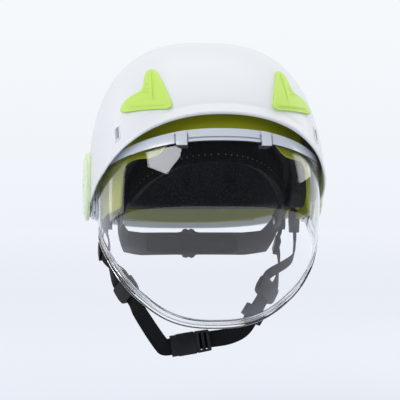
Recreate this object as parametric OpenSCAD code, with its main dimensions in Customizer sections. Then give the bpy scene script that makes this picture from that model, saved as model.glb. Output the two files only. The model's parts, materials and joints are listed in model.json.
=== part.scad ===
// Safety helmet with a clear visor that swings up between two shells.
// Origin: middle of the visor axis. +Z up, the front faces -Y, +X is the wearer's left.

/* [Outer shell] */
// Half the outside width of the shell
shell_half_w = 114; // [111:1:120]
// Outside radius of the shell about the visor axis
shell_r = 156; // [153:1:162]
// Wall of the outer shell
shell_t = 2.5; // [2:0.25:3]
// Squareness of the shell's outline, 2 is an ellipse
shell_n = 2.7; // [2.6:0.05:2.9]
// Height of the brim edge at the front, above the visor axis
brim_z = 79; // [74:1:84]
// How far the brim arch stays inside the shell's half width
brim_in = 5; // [4:0.5:8]
// Height of the side edge
side_edge_z = -6; // [-9:1:-4]
// Fall of the edge towards the nape, per millimetre
rear_slope = 0.15; // [0.1:0.01:0.18]
// Height of the raised lip along the edge
lip_h = 4; // [2:0.5:6]
// How far the lip stands out
lip_t = 1.2; // [0.6:0.2:2]

/* [Vents] */
// How far a vent insert stands out of the shell
vent_t = 3.2; // [2:0.2:4.5]
// Width of the slit in a vent insert
slit_w = 1.2; // [0.8:0.2:2]
// Width of an accessory slot
slot_w = 6; // [4:0.5:8]
// Height of an accessory slot
slot_h = 13; // [10:1:16]

/* [Visor] */
// Gap between the outer shell and the lens
visor_gap = 5.5; // [5:0.25:6]
// Thickness of the lens
lens_t = 2; // [1.6:0.2:2.4]
// Squareness of the lens and inner shell outline
lens_n = 2.5; // [2.4:0.05:2.6]
// Height of the lens above its axis
lens_top_z = 66; // [62:1:70]
// Depth of the lens below its axis
lens_low_z = 127; // [115:1:135]
// How far the lens outline passes the lens's half width, seen from the front
lens_over = 4; // [3:0.5:6]
// Height of the frame along the lens's top edge
frame_h = 9; // [7:0.5:12]
// Wall of the frame on each side of the lens
frame_t = 2; // [1.6:0.2:2.2]
// Distance of a lens clip from the middle
clip_x = 39; // [32:1:46]
// Width of a lens clip
clip_w = 9.5; // [7:0.5:12]
// Radius of the lens round its pivot
hub_r = 22; // [20.5:0.5:23]
// Radius of the pivot pin
pin_r = 6; // [5:0.5:7]

/* [Pivot covers] */
// Half length of a pivot cover
cover_half_l = 29; // [26:1:31]
// Half height of a pivot cover
cover_half_h = 34; // [30:1:36]
// How far a pivot cover stands out of the shell
cover_t = 7; // [5:0.5:9]

/* [Inner shell and liner] */
// Gap between the lens and the inner shell
inner_gap = 4.5; // [4.5:0.25:6]
// Wall of the inner shell
inner_t = 2; // [1.5:0.25:2]
// How far the face opening stays inside the inner shell's half width
face_in = 7; // [6:0.5:10]
// Height of the face opening's edge
face_z = 55; // [52:1:58]
// Height of the lowest point of the inner shell's lobes
lobe_z = -19; // [-20:1:-18]
// Height of the liner's lower edge
liner_z = -8; // [-9:1:-6]
// Thickness of the liner over the head
liner_wall = 17.2; // [15:0.2:19]
// Thickness of the liner at the sides
side_wall = 14.7; // [13.5:0.1:16]
// Depth of the air channels in the liner
channel_t = 4; // [2:1:6]

/* [Headband] */
// Gap between the headband and the liner at the sides
band_gap = 1.8; // [1.2:0.1:2.4]
// How far the headband's front stays behind the liner's hollow
brow_gap = 21.6; // [20:0.2:25]
// Place of the band's widest point behind the visor axis
band_y = 19.6; // [16:0.2:22]
// Thickness of the headband
band_t = 1.6; // [1.2:0.1:1.8]
// Thickness of the brow pad inside the band
brow_t = 8; // [6:0.5:10]
// Thickness of the crown pads
crown_t = 6; // [4:0.5:8]
// Thickness of the nape pad
nape_t = 8; // [6:0.5:10]

/* [Size adjuster] */
// Height of the knob's axis
knob_z = -45; // [-46:0.5:-44]
// Radius of the knob
knob_r = 16; // [13:0.5:17]
// Length of the knob
knob_l = 11; // [8:0.5:13]
// Radius over the pinion's teeth
pinion_r = 5; // [4.5:0.1:5.2]
// Thickness of a size belt
belt_t = 1.4; // [1:0.1:1.5]
// Height of a size belt
belt_h = 16; // [15:0.5:17]

/* [Harness] */
// Width of the chin straps
chin_w = 16; // [14:0.5:17]
// Width of the side straps
side_w = 10; // [8:0.5:11]
// Thickness of the webbing
web_t = 1.4; // [1:0.1:1.8]
// Length of the closed buckle
buckle_l = 38; // [36:1:42]
// Width of the buckle
buckle_w = 21; // [20:0.5:24]
// Thickness of the buckle
buckle_t = 7.2; // [6.8:0.2:9]

/* [Hidden] */
$fn = 96;
drum_steps = 40;
arch_steps = 32;
seat = 0.05;
soft_gap = 0.3;
far = 220;

// Growth of the typed outlines and points with the shell, across and along
wide_k = shell_half_w / 114;
deep_k = shell_r / 156;

// Radii and half widths of the nested shells
shell_in_a = shell_half_w - shell_t;
shell_in_r = shell_r - shell_t;
lens_a = shell_in_a - visor_gap;
lens_r = shell_in_r - visor_gap;
lens_in_a = lens_a - lens_t;
lens_in_r = lens_r - lens_t;
inner_a = lens_in_a - inner_gap + 1.5;
inner_r = lens_in_r - inner_gap;
inner_in_a = inner_a - inner_t;
inner_in_r = inner_r - inner_t;
liner_a = inner_in_a - soft_gap;
liner_r = inner_in_r - soft_gap;

brim_half_w = shell_half_w - brim_in;
lens_half_w = lens_a + lens_over;
face_half_w = inner_a - face_in;

// The liner's hollow and the oval of the headband in it
cavity_a = liner_a - side_wall;
cavity_r = liner_r - liner_wall;
band_a = cavity_a - band_gap;
band_half_w = band_a - band_t;
band_front = cavity_r + band_y - brow_gap;
band_n = 2.2;
arm_in = band_a + 0.3;
arm_out = arm_in + band_t;
belt_in = arm_out + 0.3;
belt_pitch = belt_t + 0.4;
case_in = belt_in + 2 * belt_pitch + 0.4;
case_out = case_in + 2.5;
tilt_y = 28;
tilt_z = -20;
tilt_pin_r = 2.5;

// Places along the visor axis
washer_out = lens_in_a - 0.9;
hub_out = lens_a + 2.2;
running = 0.05;

// Side view of the outer shell's edge, as [y, height over the side edge]
edge_line = deep_k * [[170, -170 * rear_slope], [10, -10 * rear_slope], [-12, 0], [-45, 10.5],
                      [-92, 35], [-112, 50], [-170, 94]];

// Side view of the inner shell's lower edge, with its front and rear lobes
lobe_line = deep_k * [
  [170, -27], [76, -14], [71, lobe_z / deep_k], [53, lobe_z / deep_k], [48, -11], [36, -9],
  [26, lobe_z / deep_k], [-6, lobe_z / deep_k], [-30, -12], [-50, 5], [-60, 25], [-90, 42], [-170, 80]
];

// Front view of a vent insert, as [distance from the middle, height]
vent_line = [for (p = [[61, 125], [43.5, 83], [93, 79.8], [84.5, 98], [70.5, 99.5], [68, 121]]) front_spot(p)];
vent_mid = front_spot([66, 94]);

// Harness points, as [x, y, z]
buckle_c = placed([-20, -55, -138]);
buckle_tilt = 9;
half_buckle = buckle_l / 2;
mouth_x = 5;
front_anchor = [drum_side(29, inner_a, inner_r, lens_n) - 1.2, 17, -24];
rear_anchor = [drum_side(66, inner_a, inner_r, lens_n) - 2.7, 62 * deep_k, -22];
join_right = placed([-79, -30, -88]);
join_left = placed([57, -40, -89]);
chin_slide_at = placed([42, -50.5, -111]);

// Half outline of a body that is turned about the X axis
function drum_profile(a, r, n) = [
  for (i = [0:drum_steps])
    let (t = 180 * i / drum_steps)
      [r * pow(sin(t), 2 / n), -a * sign(cos(t)) * pow(abs(cos(t)), 2 / n)]
];

// Arch of a superellipse, from its right foot over the top to its left foot
function arch(a, h, n, z = 0) = [
  for (i = [0:arch_steps])
    let (t = 180 * i / arch_steps)
      [a * sign(cos(t)) * pow(abs(cos(t)), 2 / n), z + h * pow(sin(t), 2 / n)]
];

// Radius of a turned body at a distance x from its middle
function drum_at(x, a, r, n) = r * pow(1 - pow(min(abs(x) / a, 1), n), 1 / n);

// Half width of a turned body at a radius
function drum_side(radius, a, r, n) = a * pow(1 - pow(min(radius / r, 1), n), 1 / n);

// A typed point or front view spot, moved with the shell's size
function placed(p) = [p[0] * wide_k, p[1] * deep_k, p[2] * deep_k];
function front_spot(p) = [p[0] * wide_k, p[1] * deep_k];

function reversed(list) = [for (i = [len(list) - 1:-1:0]) list[i]];
function unit(v) = v / norm(v);

// Outline with its corners rounded to a radius
function rounded(points, radius, steps = 5) = [
  for (i = [0:len(points) - 1])
    let (
      p = points[i],
      a = points[(i + len(points) - 1) % len(points)],
      b = points[(i + 1) % len(points)],
      u = unit(a - p),
      v = unit(b - p),
      reach = min(radius, norm(a - p) / 2.2, norm(b - p) / 2.2),
      from = p + u * reach,
      to = p + v * reach
    )
      for (s = [0:steps])
        let (t = s / steps)
          from * (1 - t) * (1 - t) + p * 2 * t * (1 - t) + to * t * t
];

function scaled(points, mid, factor) = [for (p = points) mid + (p - mid) * factor];

// Point on a smooth curve through four points
function spline_at(p0, p1, p2, p3, t) = 0.5 * (2 * p1 + (p2 - p0) * t
  + (2 * p0 - 5 * p1 + 4 * p2 - p3) * t * t + (3 * p1 - p0 - 3 * p2 + p3) * t * t * t);

// Smooth curve through a list of points, with k steps between two of them
function curve(points, k = 4) = concat(
  [for (i = [0:len(points) - 2], j = [0:k - 1])
    spline_at(points[max(i - 1, 0)], points[i], points[i + 1], points[min(i + 2, len(points) - 1)], j / k)],
  [points[len(points) - 1]]
);

// Heading of a strap's face at a place on the harness, in degrees from straight ahead
function heading(p) = len(p) > 3 ? p[3] : atan2(0.5 * p[0], p[1] < 0 ? -p[1] : -0.2 * p[1]);

// Direction of that face
function outward(p) = [sin(heading(p)), -cos(heading(p)), 0];

function spot(p) = [p[0], p[1], p[2]];

// Turn that lays the x axis along t with the z axis towards n
function turn_to(t, n) =
  let (x = unit(t), y = unit(cross(n, x)), z = cross(x, y))
    [atan2(y[2], z[2]), -asin(x[2]), atan2(x[1], x[0])];

function buckle_point(x, back = 0) = concat(buckle_c + [x * cos(buckle_tilt), back, x * sin(buckle_tilt)], [0]);

module drum(a, r, n) {
  rotate([0, 90, 0]) rotate_extrude() polygon(drum_profile(a, r, n));
}

// Front view outline pushed through everything in front of the middle
module front_prism(points) {
  rotate([90, 0, 0]) linear_extrude(far) polygon(points);
}

// Side view outline pushed through the whole width
module side_prism(points, width = 2 * far) {
  translate([-width / 2, 0, 0]) rotate([90, 0, 90]) linear_extrude(width) polygon(points);
}

// Round bar along the visor axis, from x0 to x1
module axle(radius, x0, x1) {
  translate([x0, 0, 0]) rotate([0, 90, 0]) cylinder(r = radius, h = x1 - x0);
}

module right_side() {
  mirror([1, 0, 0]) children();
}

module both_sides() {
  children();
  right_side() children();
}

// Solid through a list of rings that have the same number of points
module skin(rings) {
  n = len(rings[0]);
  m = len(rings);
  sides = [
    for (i = [0:m - 2], j = [0:n - 1])
      let (a = i * n + j, b = i * n + (j + 1) % n, c = a + n, d = b + n)
        each [[a, b, d], [a, d, c]]
  ];
  first = [for (j = [1:n - 2]) [0, j + 1, j]];
  last = [for (j = [1:n - 2]) [(m - 1) * n, (m - 1) * n + j, (m - 1) * n + j + 1]];
  polyhedron([for (r = rings) each r], concat(sides, first, last));
}

// Flat webbing along a curve
module webbing(points, width) {
  path = curve([for (p = points) concat(spot(p), [heading(p)])]);
  last = len(path) - 1;
  skin([
    for (i = [0:last])
      let (
        p = spot(path[i]),
        t = unit(spot(path[min(i + 1, last)]) - spot(path[max(i - 1, 0)])),
        w = unit(cross(t, outward(path[i]))) * width / 2,
        h = unit(cross(w, t)) * web_t / 2
      )
        [p + w + h, p - w + h, p - w - h, p + w - h]
  ]);
}

module place_at(point, along) {
  translate(spot(point)) rotate(turn_to(along, outward(point))) children();
}

// All that lies under the outer shell's edge, raised by grow
module under_edge(grow) {
  front_prism(concat(
    arch(brim_half_w + grow, brim_z - side_edge_z + grow, 2, side_edge_z),
    [[-far, side_edge_z], [-far, -far], [far, -far], [far, side_edge_z]]
  ));
  side_prism(concat(
    [for (p = edge_line) [p[0], side_edge_z + p[1] + grow]],
    [[-170, -far], [170, -far]]
  ));
}

// All that lies under the face arch and the lower edge of the inner shell
module under_lobes() {
  front_prism(concat(
    arch(face_half_w, face_z - side_edge_z, 3, side_edge_z),
    [[-face_half_w, -far], [face_half_w, -far]]
  ));
  side_prism(concat(lobe_line, [[-170, -far], [170, -far]]));
}

module vent_window(factor) {
  front_prism(rounded(scaled(vent_line, vent_mid, factor), 4));
}

// Place and turn of an accessory slot, on the shell's slanting side
module at_slot() {
  x = 0.82 * shell_half_w;
  phi = 32;
  radius = drum_at(x, shell_half_w, shell_r, shell_n);
  lean = atan2(pow(x, 2) / pow(shell_half_w, 3), pow(radius, 2) / pow(shell_r, 3));
  translate([x, -radius * cos(phi), radius * sin(phi)])
    rotate([90 - phi, 0, 0]) rotate([0, lean, 0]) children();
}

// Block through the shell's wall at the slot, reach to each side of its outside
module slot_block(extra, reach) {
  at_slot() cube([slot_w + extra, slot_h + extra, 2 * reach], center = true);
}

// Radial screw through the rear of both shells
module rear_hole(radius) {
  for (x = [-42, 42])
    translate([x * wide_k, 0, -8]) rotate([-90, 0, 0]) cylinder(r = radius, h = far);
}

module outer_shell() {
  color("white") difference() {
    union() {
      drum(shell_half_w, shell_r, shell_n);
      difference() {
        intersection() {
          drum(shell_half_w + lip_t, shell_r + lip_t, shell_n);
          under_edge(lip_h);
        }
        both_sides() cover_layer(-soft_gap, shell_half_w - 6, shell_half_w + 5);
      }
    }
    drum(shell_in_a, shell_in_r, shell_n);
    under_edge(0);
    both_sides() vent_window(0.74);
    both_sides() slot_block(3, 8);
    both_sides() axle(pin_r + running, shell_in_a - 5, shell_half_w + 5);
    rear_hole(2.1);
  }
}

module inner_shell() {
  color("yellowgreen") difference() {
    drum(inner_a, inner_r, lens_n);
    drum(inner_in_a, inner_in_r, lens_n);
    under_lobes();
    both_sides() axle(pin_r + running, inner_in_a - 5, inner_a + 5);
    both_sides() anchor_holes();
    rear_hole(2.1);
  }
}

module anchor_holes() {
  for (p = [front_anchor, rear_anchor])
    translate([p[0] - 20, p[1], lobe_z + 5]) rotate([0, 90, 0]) cylinder(r = 2.05, h = 40);
}

// Air channels in the hollow of the liner
module liner_channels() {
  intersection() {
    drum(cavity_a + channel_t, cavity_r + channel_t, lens_n);
    for (x = [-46, 0, 46])
      translate([x * wide_k - 5, -far / 2, 20]) cube([10, far, far]);
  }
}

module liner() {
  color("dimgray") difference() {
    drum(liner_a, liner_r, lens_n);
    drum(cavity_a, cavity_r, lens_n);
    liner_channels();
    front_prism(concat(
      arch(face_half_w - 5, face_z - side_edge_z - 7, 3, side_edge_z),
      [[-face_half_w + 5, -far], [face_half_w - 5, -far]]
    ));
    translate([-far, -far, liner_z - far]) cube([2 * far, 2 * far, far]);
    side_prism(deep_k * [[-170, 80], [-90, 47], [-58, 27], [-46, 6], [-28, liner_z / deep_k],
                         [-170, liner_z / deep_k - 1]]);
    both_sides() axle(11, inner_in_a - 6, inner_a);
  }
}

// Filler between the two shells along the nape
module shell_spacer() {
  color("dimgray") difference() {
    intersection() {
      drum(shell_in_a - soft_gap, shell_in_r - soft_gap, shell_n);
      side_prism(deep_k * [[105, 6], [105, -17], [170, -24], [170, 6]], 150 * wide_k);
    }
    drum(inner_a + soft_gap, inner_r + soft_gap, lens_n);
    rear_hole(2.1);
  }
}

module spacer_screws() {
  x = 42 * wide_k;
  back = sqrt(pow(drum_at(x, shell_half_w, shell_r, shell_n), 2) - 64);
  front = sqrt(pow(drum_at(x, inner_in_a, inner_in_r, lens_n), 2) - 64);
  color("silver") for (side = [-x, x])
    translate([side, 0, -8]) rotate([-90, 0, 0]) {
      translate([0, 0, front + soft_gap]) cylinder(r = 2, h = back - front + 1);
      translate([0, 0, back + 1]) cylinder(r = 4, h = 1.6);
    }
}

module vent_insert() {
  color("greenyellow") difference() {
    union() {
      intersection() {
        drum(shell_half_w + vent_t, shell_r + vent_t, shell_n);
        vent_window(1);
      }
      intersection() {
        drum(shell_half_w + 1, shell_r + 1, shell_n);
        vent_window(0.72);
      }
    }
    difference() {
      drum(shell_half_w + seat, shell_r + seat, shell_n);
      vent_window(0.73);
    }
    drum(shell_in_a + seat, shell_in_r + seat, shell_n);
    intersection() {
      difference() {
        drum(shell_half_w + far, shell_r + far, shell_n);
        drum(shell_half_w + vent_t - 1.2, shell_r + vent_t - 1.2, shell_n);
      }
      front_prism([for (p = [[60, 130], [60 + slit_w, 130], [62 + slit_w, 88], [62, 88]]) front_spot(p)]);
    }
    intersection() {
      drum(shell_half_w + vent_t - 1, shell_r + vent_t - 1, shell_n);
      front_prism([for (p = [[50, 70], [86, 70], [86, 84], [50, 85]]) front_spot(p)]);
      difference() {
        drum(shell_half_w + far, shell_r + far, shell_n);
        drum(shell_half_w + 0.8, shell_r + 0.8, shell_n);
      }
    }
  }
}

module vent_insert_left() { vent_insert(); }
module vent_insert_right() { right_side() vent_insert(); }

// Socket for a clip-on lamp or ear muff
module accessory_slot() {
  color("white") difference() {
    intersection() {
      drum(shell_half_w + 0.8, shell_r + 0.8, shell_n);
      slot_block(2.6, 8);
    }
    drum(shell_in_a - 1, shell_in_r - 1, shell_n);
    slot_block(0, 9);
  }
}

module accessory_slot_left() { accessory_slot(); }
module accessory_slot_right() { right_side() accessory_slot(); }

function oval(a, b, mid, steps = 48) = [
  for (i = [0:steps - 1]) mid + [a * cos(360 * i / steps), b * sin(360 * i / steps)]
];

// Side view oval of the cover, from x0 to x1
module cover_layer(inset, x0, x1) {
  translate([x0, 0, 0]) rotate([90, 0, 90]) linear_extrude(x1 - x0)
    polygon(oval(cover_half_l - inset, cover_half_h - inset, [4, 13]));
}

module pivot_cover() {
  x = shell_half_w;
  color("greenyellow") difference() {
    union() {
      cover_layer(0, x - 6, x + cover_t - 3.5);
      cover_layer(1.2, x - 6, x + cover_t - 2);
      cover_layer(3, x - 6, x + cover_t - 0.8);
      cover_layer(6, x - 6, x + cover_t);
    }
    drum(x + seat, shell_r + seat, shell_n);
    axle(10, x - 6, x + 3.4);
    difference() {
      axle(15, x + cover_t - 0.8, x + cover_t + 1);
      axle(13.6, x, x + cover_t + 2);
    }
  }
}

module pivot_cover_left() { pivot_cover(); }
module pivot_cover_right() { right_side() pivot_cover(); }

module pivot_pin() {
  color("silver") difference() {
    union() {
      axle(pin_r, inner_in_a - 3, shell_half_w + seat);
      axle(pin_r + 3.5, inner_in_a - 3, inner_in_a - 0.2);
    }
    axle(2, shell_half_w - 12, shell_half_w + 1);
  }
}

module pivot_pin_left() { pivot_pin(); }
module pivot_pin_right() { right_side() pivot_pin(); }

module pivot_screws() {
  color("gray") both_sides() {
    axle(1.9, shell_half_w - 11, shell_half_w + 0.5);
    difference() {
      axle(8, shell_half_w + 0.1, shell_half_w + 2.4);
      axle(2, shell_half_w + 1.2, shell_half_w + 3);
    }
  }
}

module pivot_washers() {
  color("black") both_sides() difference() {
    axle(14, inner_a - 1, washer_out);
    drum(inner_a + seat, inner_r + seat, lens_n);
    axle(pin_r + 0.2, inner_a - 2, washer_out + 1);
  }
}

module detent_ring() {
  color("black") difference() {
    intersection() {
      axle(18, hub_out + 0.3, shell_in_a);
      drum(shell_in_a - seat, shell_in_r - seat, shell_n);
    }
    axle(pin_r + 0.2, hub_out, shell_in_a + 1);
    for (i = [0:7])
      rotate([45 * i, 0, 0]) translate([hub_out, 12, -1.5]) cube([1.3, 8, 3]);
  }
}

module detent_ring_left() { detent_ring(); }
module detent_ring_right() { right_side() detent_ring(); }

// Side view of the lens's upper edge, from the pivot forward
lens_rise = deep_k * [[10, 21], [-37, 22.5], [-57, 32.5], [-86, 42.5], [-120, 54], [-170, 71]];

// Side view of its lower edge, from the pivot forward
lens_fall = deep_k * [[10, -21], [-10, -22], [-22, -28], [-40, -41], [-58, -58], [-70, -75], [-79, -98],
                      [-84, -125], [-86, -170]];

// All that lies within the lens's edges, grown by g
module visor_zone(g) {
  intersection() {
    front_prism(concat(
      arch(lens_half_w + g, lens_top_z + g, 2.4),
      reversed([for (p = arch(lens_half_w + g, lens_low_z + g, 2)) [p[0], -p[1]]])
    ));
    side_prism(concat(
      [for (p = lens_rise) p + [0, g]],
      [[-170, -170]],
      [for (p = reversed(lens_fall)) p + [0.6 * g, -0.8 * g]]
    ));
  }
}

module above(z) {
  translate([-far, -far, z]) cube([2 * far, 2 * far, far]);
}

module ahead_of(y) {
  translate([-far, -far, -far]) cube([2 * far, far + y, 2 * far]);
}

module visor_lens() {
  color("lightcyan", 0.4) difference() {
    union() {
      intersection() {
        drum(lens_a, lens_r, lens_n);
        union() {
          visor_zone(0);
          axle(hub_r, -far, far);
        }
      }
      difference() {
        intersection() {
          drum(lens_a + 0.6, lens_r + 0.6, lens_n);
          visor_zone(0);
        }
        visor_zone(-3);
        above(-26);
      }
    }
    drum(lens_in_a, lens_in_r, lens_n);
    axle(17, -far, far);
  }
}

frame_r = lens_r + frame_t;
frame_a = lens_a + frame_t;
cap_t = 2.2;
frame_end_y = -48 * deep_k;

// Band along the lens's upper edge, from grow high down to grow low
module brow_band(high, low) {
  intersection() {
    difference() {
      visor_zone(high);
      visor_zone(low);
    }
    ahead_of(frame_end_y);
    above(15);
  }
}

module visor_frame() {
  color("gainsboro") difference() {
    intersection() {
      drum(frame_a, frame_r, lens_n);
      brow_band(cap_t, -frame_h);
    }
    drum(lens_in_a - frame_t, lens_in_r - frame_t, lens_n);
    intersection() {
      difference() {
        drum(lens_a + seat, lens_r + seat, lens_n);
        drum(lens_in_a - seat, lens_in_r - seat, lens_n);
      }
      visor_zone(seat);
    }
  }
}

module frame_seal() {
  color("black") difference() {
    intersection() {
      drum(frame_a - 0.4, frame_r - 0.4, lens_n);
      brow_band(-frame_h - seat, -frame_h - 1.6);
    }
    drum(lens_a + seat, lens_r + seat, lens_n);
    both_sides() clip_column(0.3);
  }
}

module clip_column(extra) {
  low = lens_top_z - frame_h - 10;
  front_prism([
    for (p = [[0, 0], [1, 0], [1, 1], [0, 1]])
      [clip_x - clip_w / 2 - extra + p[0] * (clip_w + 2 * extra), low + p[1] * 14]
  ]);
}

// Clip that hooks the lens to its frame
module visor_clip() {
  color("gainsboro") difference() {
    intersection() {
      drum(frame_a + 1.7, frame_r + 1.7, lens_n);
      clip_column(0);
    }
    drum(lens_a + seat, lens_r + seat, lens_n);
    intersection() {
      drum(frame_a + seat, frame_r + seat, lens_n);
      brow_band(cap_t, -frame_h - seat);
    }
  }
}

module visor_clip_left() { visor_clip(); }
module visor_clip_right() { right_side() visor_clip(); }

module visor_hub() {
  color("dimgray") difference() {
    union() {
      difference() {
        axle(20, lens_a - 1, hub_out);
        drum(lens_a + seat, lens_r + seat, lens_n);
      }
      axle(16.8, lens_in_a - 0.6, hub_out - 0.5);
    }
    axle(pin_r + running, lens_in_a - 2, hub_out + 1);
  }
}

module visor_hub_left() { visor_hub(); }
module visor_hub_right() { right_side() visor_hub(); }

plan_steps = 32;
wrap_gap = 0.5;

// Height of the headband's lower edge at a place y
function band_low(y) = -12 - (y + 12) * 0.551;

// Plan of the head oval, grown: half ellipse in front, half circle behind
function head_plan(grow) = concat(
  [for (i = [0:24]) let (t = 180 * i / 24)
    [(band_half_w + grow) * cos(t), band_y + (band_half_w + grow) * sin(t)]],
  [for (i = [1:plan_steps - 1]) let (t = 180 + 180 * i / plan_steps)
    [(band_half_w + grow) * sign(cos(t)) * pow(abs(cos(t)), 2 / band_n),
     band_y - (band_front + grow) * pow(abs(sin(t)), 2 / band_n)]]
);

module head_wall(from, to) {
  difference() {
    translate([0, 0, -far / 2]) linear_extrude(far) polygon(head_plan(to));
    translate([0, 0, -far / 2 - 1]) linear_extrude(far + 2) polygon(head_plan(from));
  }
}

// Side view of the headband: high at the brow, low at the pivots
band_side = [[-130, 79], [-130, band_low(-130)], [-12, band_low(-12)], [8, -24], [tilt_y, tilt_z - 9],
             [tilt_y + 9, tilt_z - 3], [tilt_y + 9, tilt_z + 5], [tilt_y, tilt_z + 9], [4, 2], [-18, 18]];

module tilt_pin(radius, x0, x1) {
  translate([0, tilt_y, tilt_z]) axle(radius, x0, x1);
}

module headband() {
  color("black") difference() {
    intersection() {
      head_wall(0, band_t);
      side_prism(band_side);
    }
    both_sides() tilt_pin(tilt_pin_r + running, band_half_w - 6, band_a + 4);
  }
}

// Blocks that hold the headband in the liner
module band_hangers() {
  color("black") difference() {
    intersection() {
      drum(cavity_a - seat, cavity_r - seat, lens_n);
      both_sides() {
        translate(placed([28, -140, 55.6])) cube([14, 50 * deep_k, 6.4]);
        translate([band_half_w - 10, -12, 2]) cube([20, 12, 8]);
      }
    }
    translate([0, 0, -far / 2]) linear_extrude(far) polygon(head_plan(band_t + seat));
  }
}

cushion_n = 2.6;

// Section of a cushion: x across from -1 to 1, y from 0 at the back to 1 at the crown
function cushion_at(t) = [
  sign(cos(t)) * pow(abs(cos(t)), 2 / cushion_n),
  sin(t) < 0 ? 0.12 - 0.12 * pow(-sin(t), 0.5) : 0.12 + 0.88 * pow(sin(t), 2 / cushion_n)
];

// Narrowing of a cushion towards its two ends, s from 0 to 1
function draw_in(s) = pow(1 - pow(abs(2 * s - 1), 4), 0.45);

// Section of the padded wrap, as [outward from the band's inside, height], fuller where k is 1
function wrap_section(k) = [
  [3, 0.6], [3.4, 4 + 9 * k], [3, 4 + 17 * k], [band_t + wrap_gap, 4 + 18 * k],
  [band_t + wrap_gap, 2.2 - wrap_gap], [-wrap_gap, 2.2 - wrap_gap], [-wrap_gap, 5 + 17 * k],
  [-1 - brow_t * 0.5 * k, 5 + 18 * k], [-1 - brow_t * k, 4 + 11 * k], [-1 - brow_t * k, 3 + 4 * k],
  [-1 - brow_t * 0.6 * k, 0.5], [1, -0.8]
];

// Padded wrap round the front of the headband
module brow_pad() {
  first = 4;
  rows = 24;
  color("black") skin([
    for (i = [0:rows])
      let (
        t = 180 + (first + i) * 180 / plan_steps,
        c = [sign(cos(t)) * pow(abs(cos(t)), 2 / band_n), -pow(abs(sin(t)), 2 / band_n)],
        low = band_low(band_y + band_front * c[1]) - 2.2
      )
        [for (q = wrap_section(draw_in(0.01 + 0.98 * i / rows)))
          [(band_half_w + q[0]) * c[0], band_y + (band_front + q[0]) * c[1], low + q[1]]]
  ]);
}

// Pad on the liner's hollow, from angle phi0 to phi1 over the head
module crown_pad(x0, half_w, phi0, phi1) {
  rows = 18;
  color("black") skin([
    for (i = [0:rows])
      let (s = 0.02 + 0.96 * i / rows, phi = phi0 + (phi1 - phi0) * s, k = draw_in(s))
        [for (j = [0:13])
          let (
            c = cushion_at(360 * j / 14),
            x = x0 + half_w * k * c[0],
            r = drum_at(x, cavity_a, cavity_r, lens_n) - soft_gap - crown_t * (0.15 + 0.85 * k) * c[1]
          )
            [x, -r * cos(phi), r * sin(phi)]]
  ]);
}

module crown_pad_middle() { crown_pad(0, 19, 58, 122); }
module crown_pad_left() { crown_pad(46 * wide_k, 15, 52, 124); }
module crown_pad_right() { crown_pad(-46 * wide_k, 15, 52, 124); }

module cradle_pivots() {
  color("silver") both_sides() {
    tilt_pin(tilt_pin_r, band_half_w - 2.4, arm_out + 1.4);
    tilt_pin(4.5, band_half_w - 2.4, band_half_w - 1.2);
    tilt_pin(4.5, arm_out + 0.5, arm_out + 1.6);
  }
}

// Half height of the cradle at the nape
cradle_h = belt_h / 2 + 4;

// Side view of the rear cradle, from its pivots down to the nape
cradle_side = [[tilt_y - 8, tilt_z + 4], [tilt_y - 4, tilt_z + 8], [tilt_y + 5, tilt_z + 8],
               [62, knob_z + cradle_h + 2], [82, knob_z + cradle_h], [130, knob_z + cradle_h],
               [130, knob_z - cradle_h], [82, knob_z - cradle_h], [56, knob_z - cradle_h + 4],
               [tilt_y, tilt_z - 8], [tilt_y - 8, tilt_z - 4]];

module nape_ring(from, to, z0, z1) {
  translate([0, band_y, knob_z + z0]) difference() {
    cylinder(r = to, h = z1 - z0);
    translate([0, 0, -1]) cylinder(r = from, h = z1 - z0 + 2);
  }
}

// Part of the nape between two plan angles, counted from straight back
module nape_wedge(from, to) {
  translate([0, band_y, -far / 2]) linear_extrude(far)
    polygon([[0, 0], [far * sin(from), far * cos(from)], [far * sin(to), far * cos(to)]]);
}

module rear_cradle() {
  color("dimgray") difference() {
    union() {
      intersection() {
        translate([0, band_y, -far / 2]) difference() {
          cylinder(r = arm_out, h = far);
          translate([0, 0, -1]) cylinder(r = arm_in, h = far + 2);
        }
        side_prism(cradle_side);
        translate([-far, tilt_y - 9, -far]) cube([2 * far, far, 2 * far]);
      }
      for (side = [-1, 1])
        intersection() {
          nape_ring(arm_out - 0.2, case_in + 1.4, -belt_h / 2 - 3, belt_h / 2 + 3);
          nape_wedge(side * 34, side * 40);
        }
    }
    nape_ring(arm_out, case_in, -belt_h / 2 - 0.4, belt_h / 2 + 0.4);
    both_sides() tilt_pin(tilt_pin_r + running, band_half_w - 6, arm_out + 6);
  }
}

module nape_pad() {
  rows = 20;
  color("black") skin([
    for (i = [0:rows])
      let (s = 0.02 + 0.96 * i / rows, a = -38 + 76 * s, k = draw_in(s))
        [for (j = [0:13])
          let (
            c = cushion_at(360 * j / 14),
            r = band_half_w + band_t - soft_gap + 0.2 - nape_t * (0.15 + 0.85 * k) * c[1],
            z = knob_z - (belt_h / 2 + 3) * (0.5 + 0.5 * k) * c[0]
          )
            [r * sin(a), band_y + r * cos(a), z]]
  ]);
}

module knob_bar(radius, y0, y1) {
  translate([0, band_y + y0, knob_z]) rotate([-90, 0, 0]) cylinder(r = radius, h = y1 - y0);
}

case_half_h = belt_h / 2 + 3.5;
case_half_a = 21;

module ratchet_case() {
  color("dimgray") difference() {
    union() {
      intersection() {
        nape_ring(arm_out + seat, case_out, -case_half_h, case_half_h);
        nape_wedge(-case_half_a, case_half_a);
      }
      knob_bar(knob_r - 1.5, case_in - 2, case_out + 0.6);
    }
    nape_ring(arm_out - 2, case_in, -belt_h / 2 - 0.4, belt_h / 2 + 0.4);
    knob_bar(3 + running, 0, far);
    case_bars(1.4, 0, far);
  }
}

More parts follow.
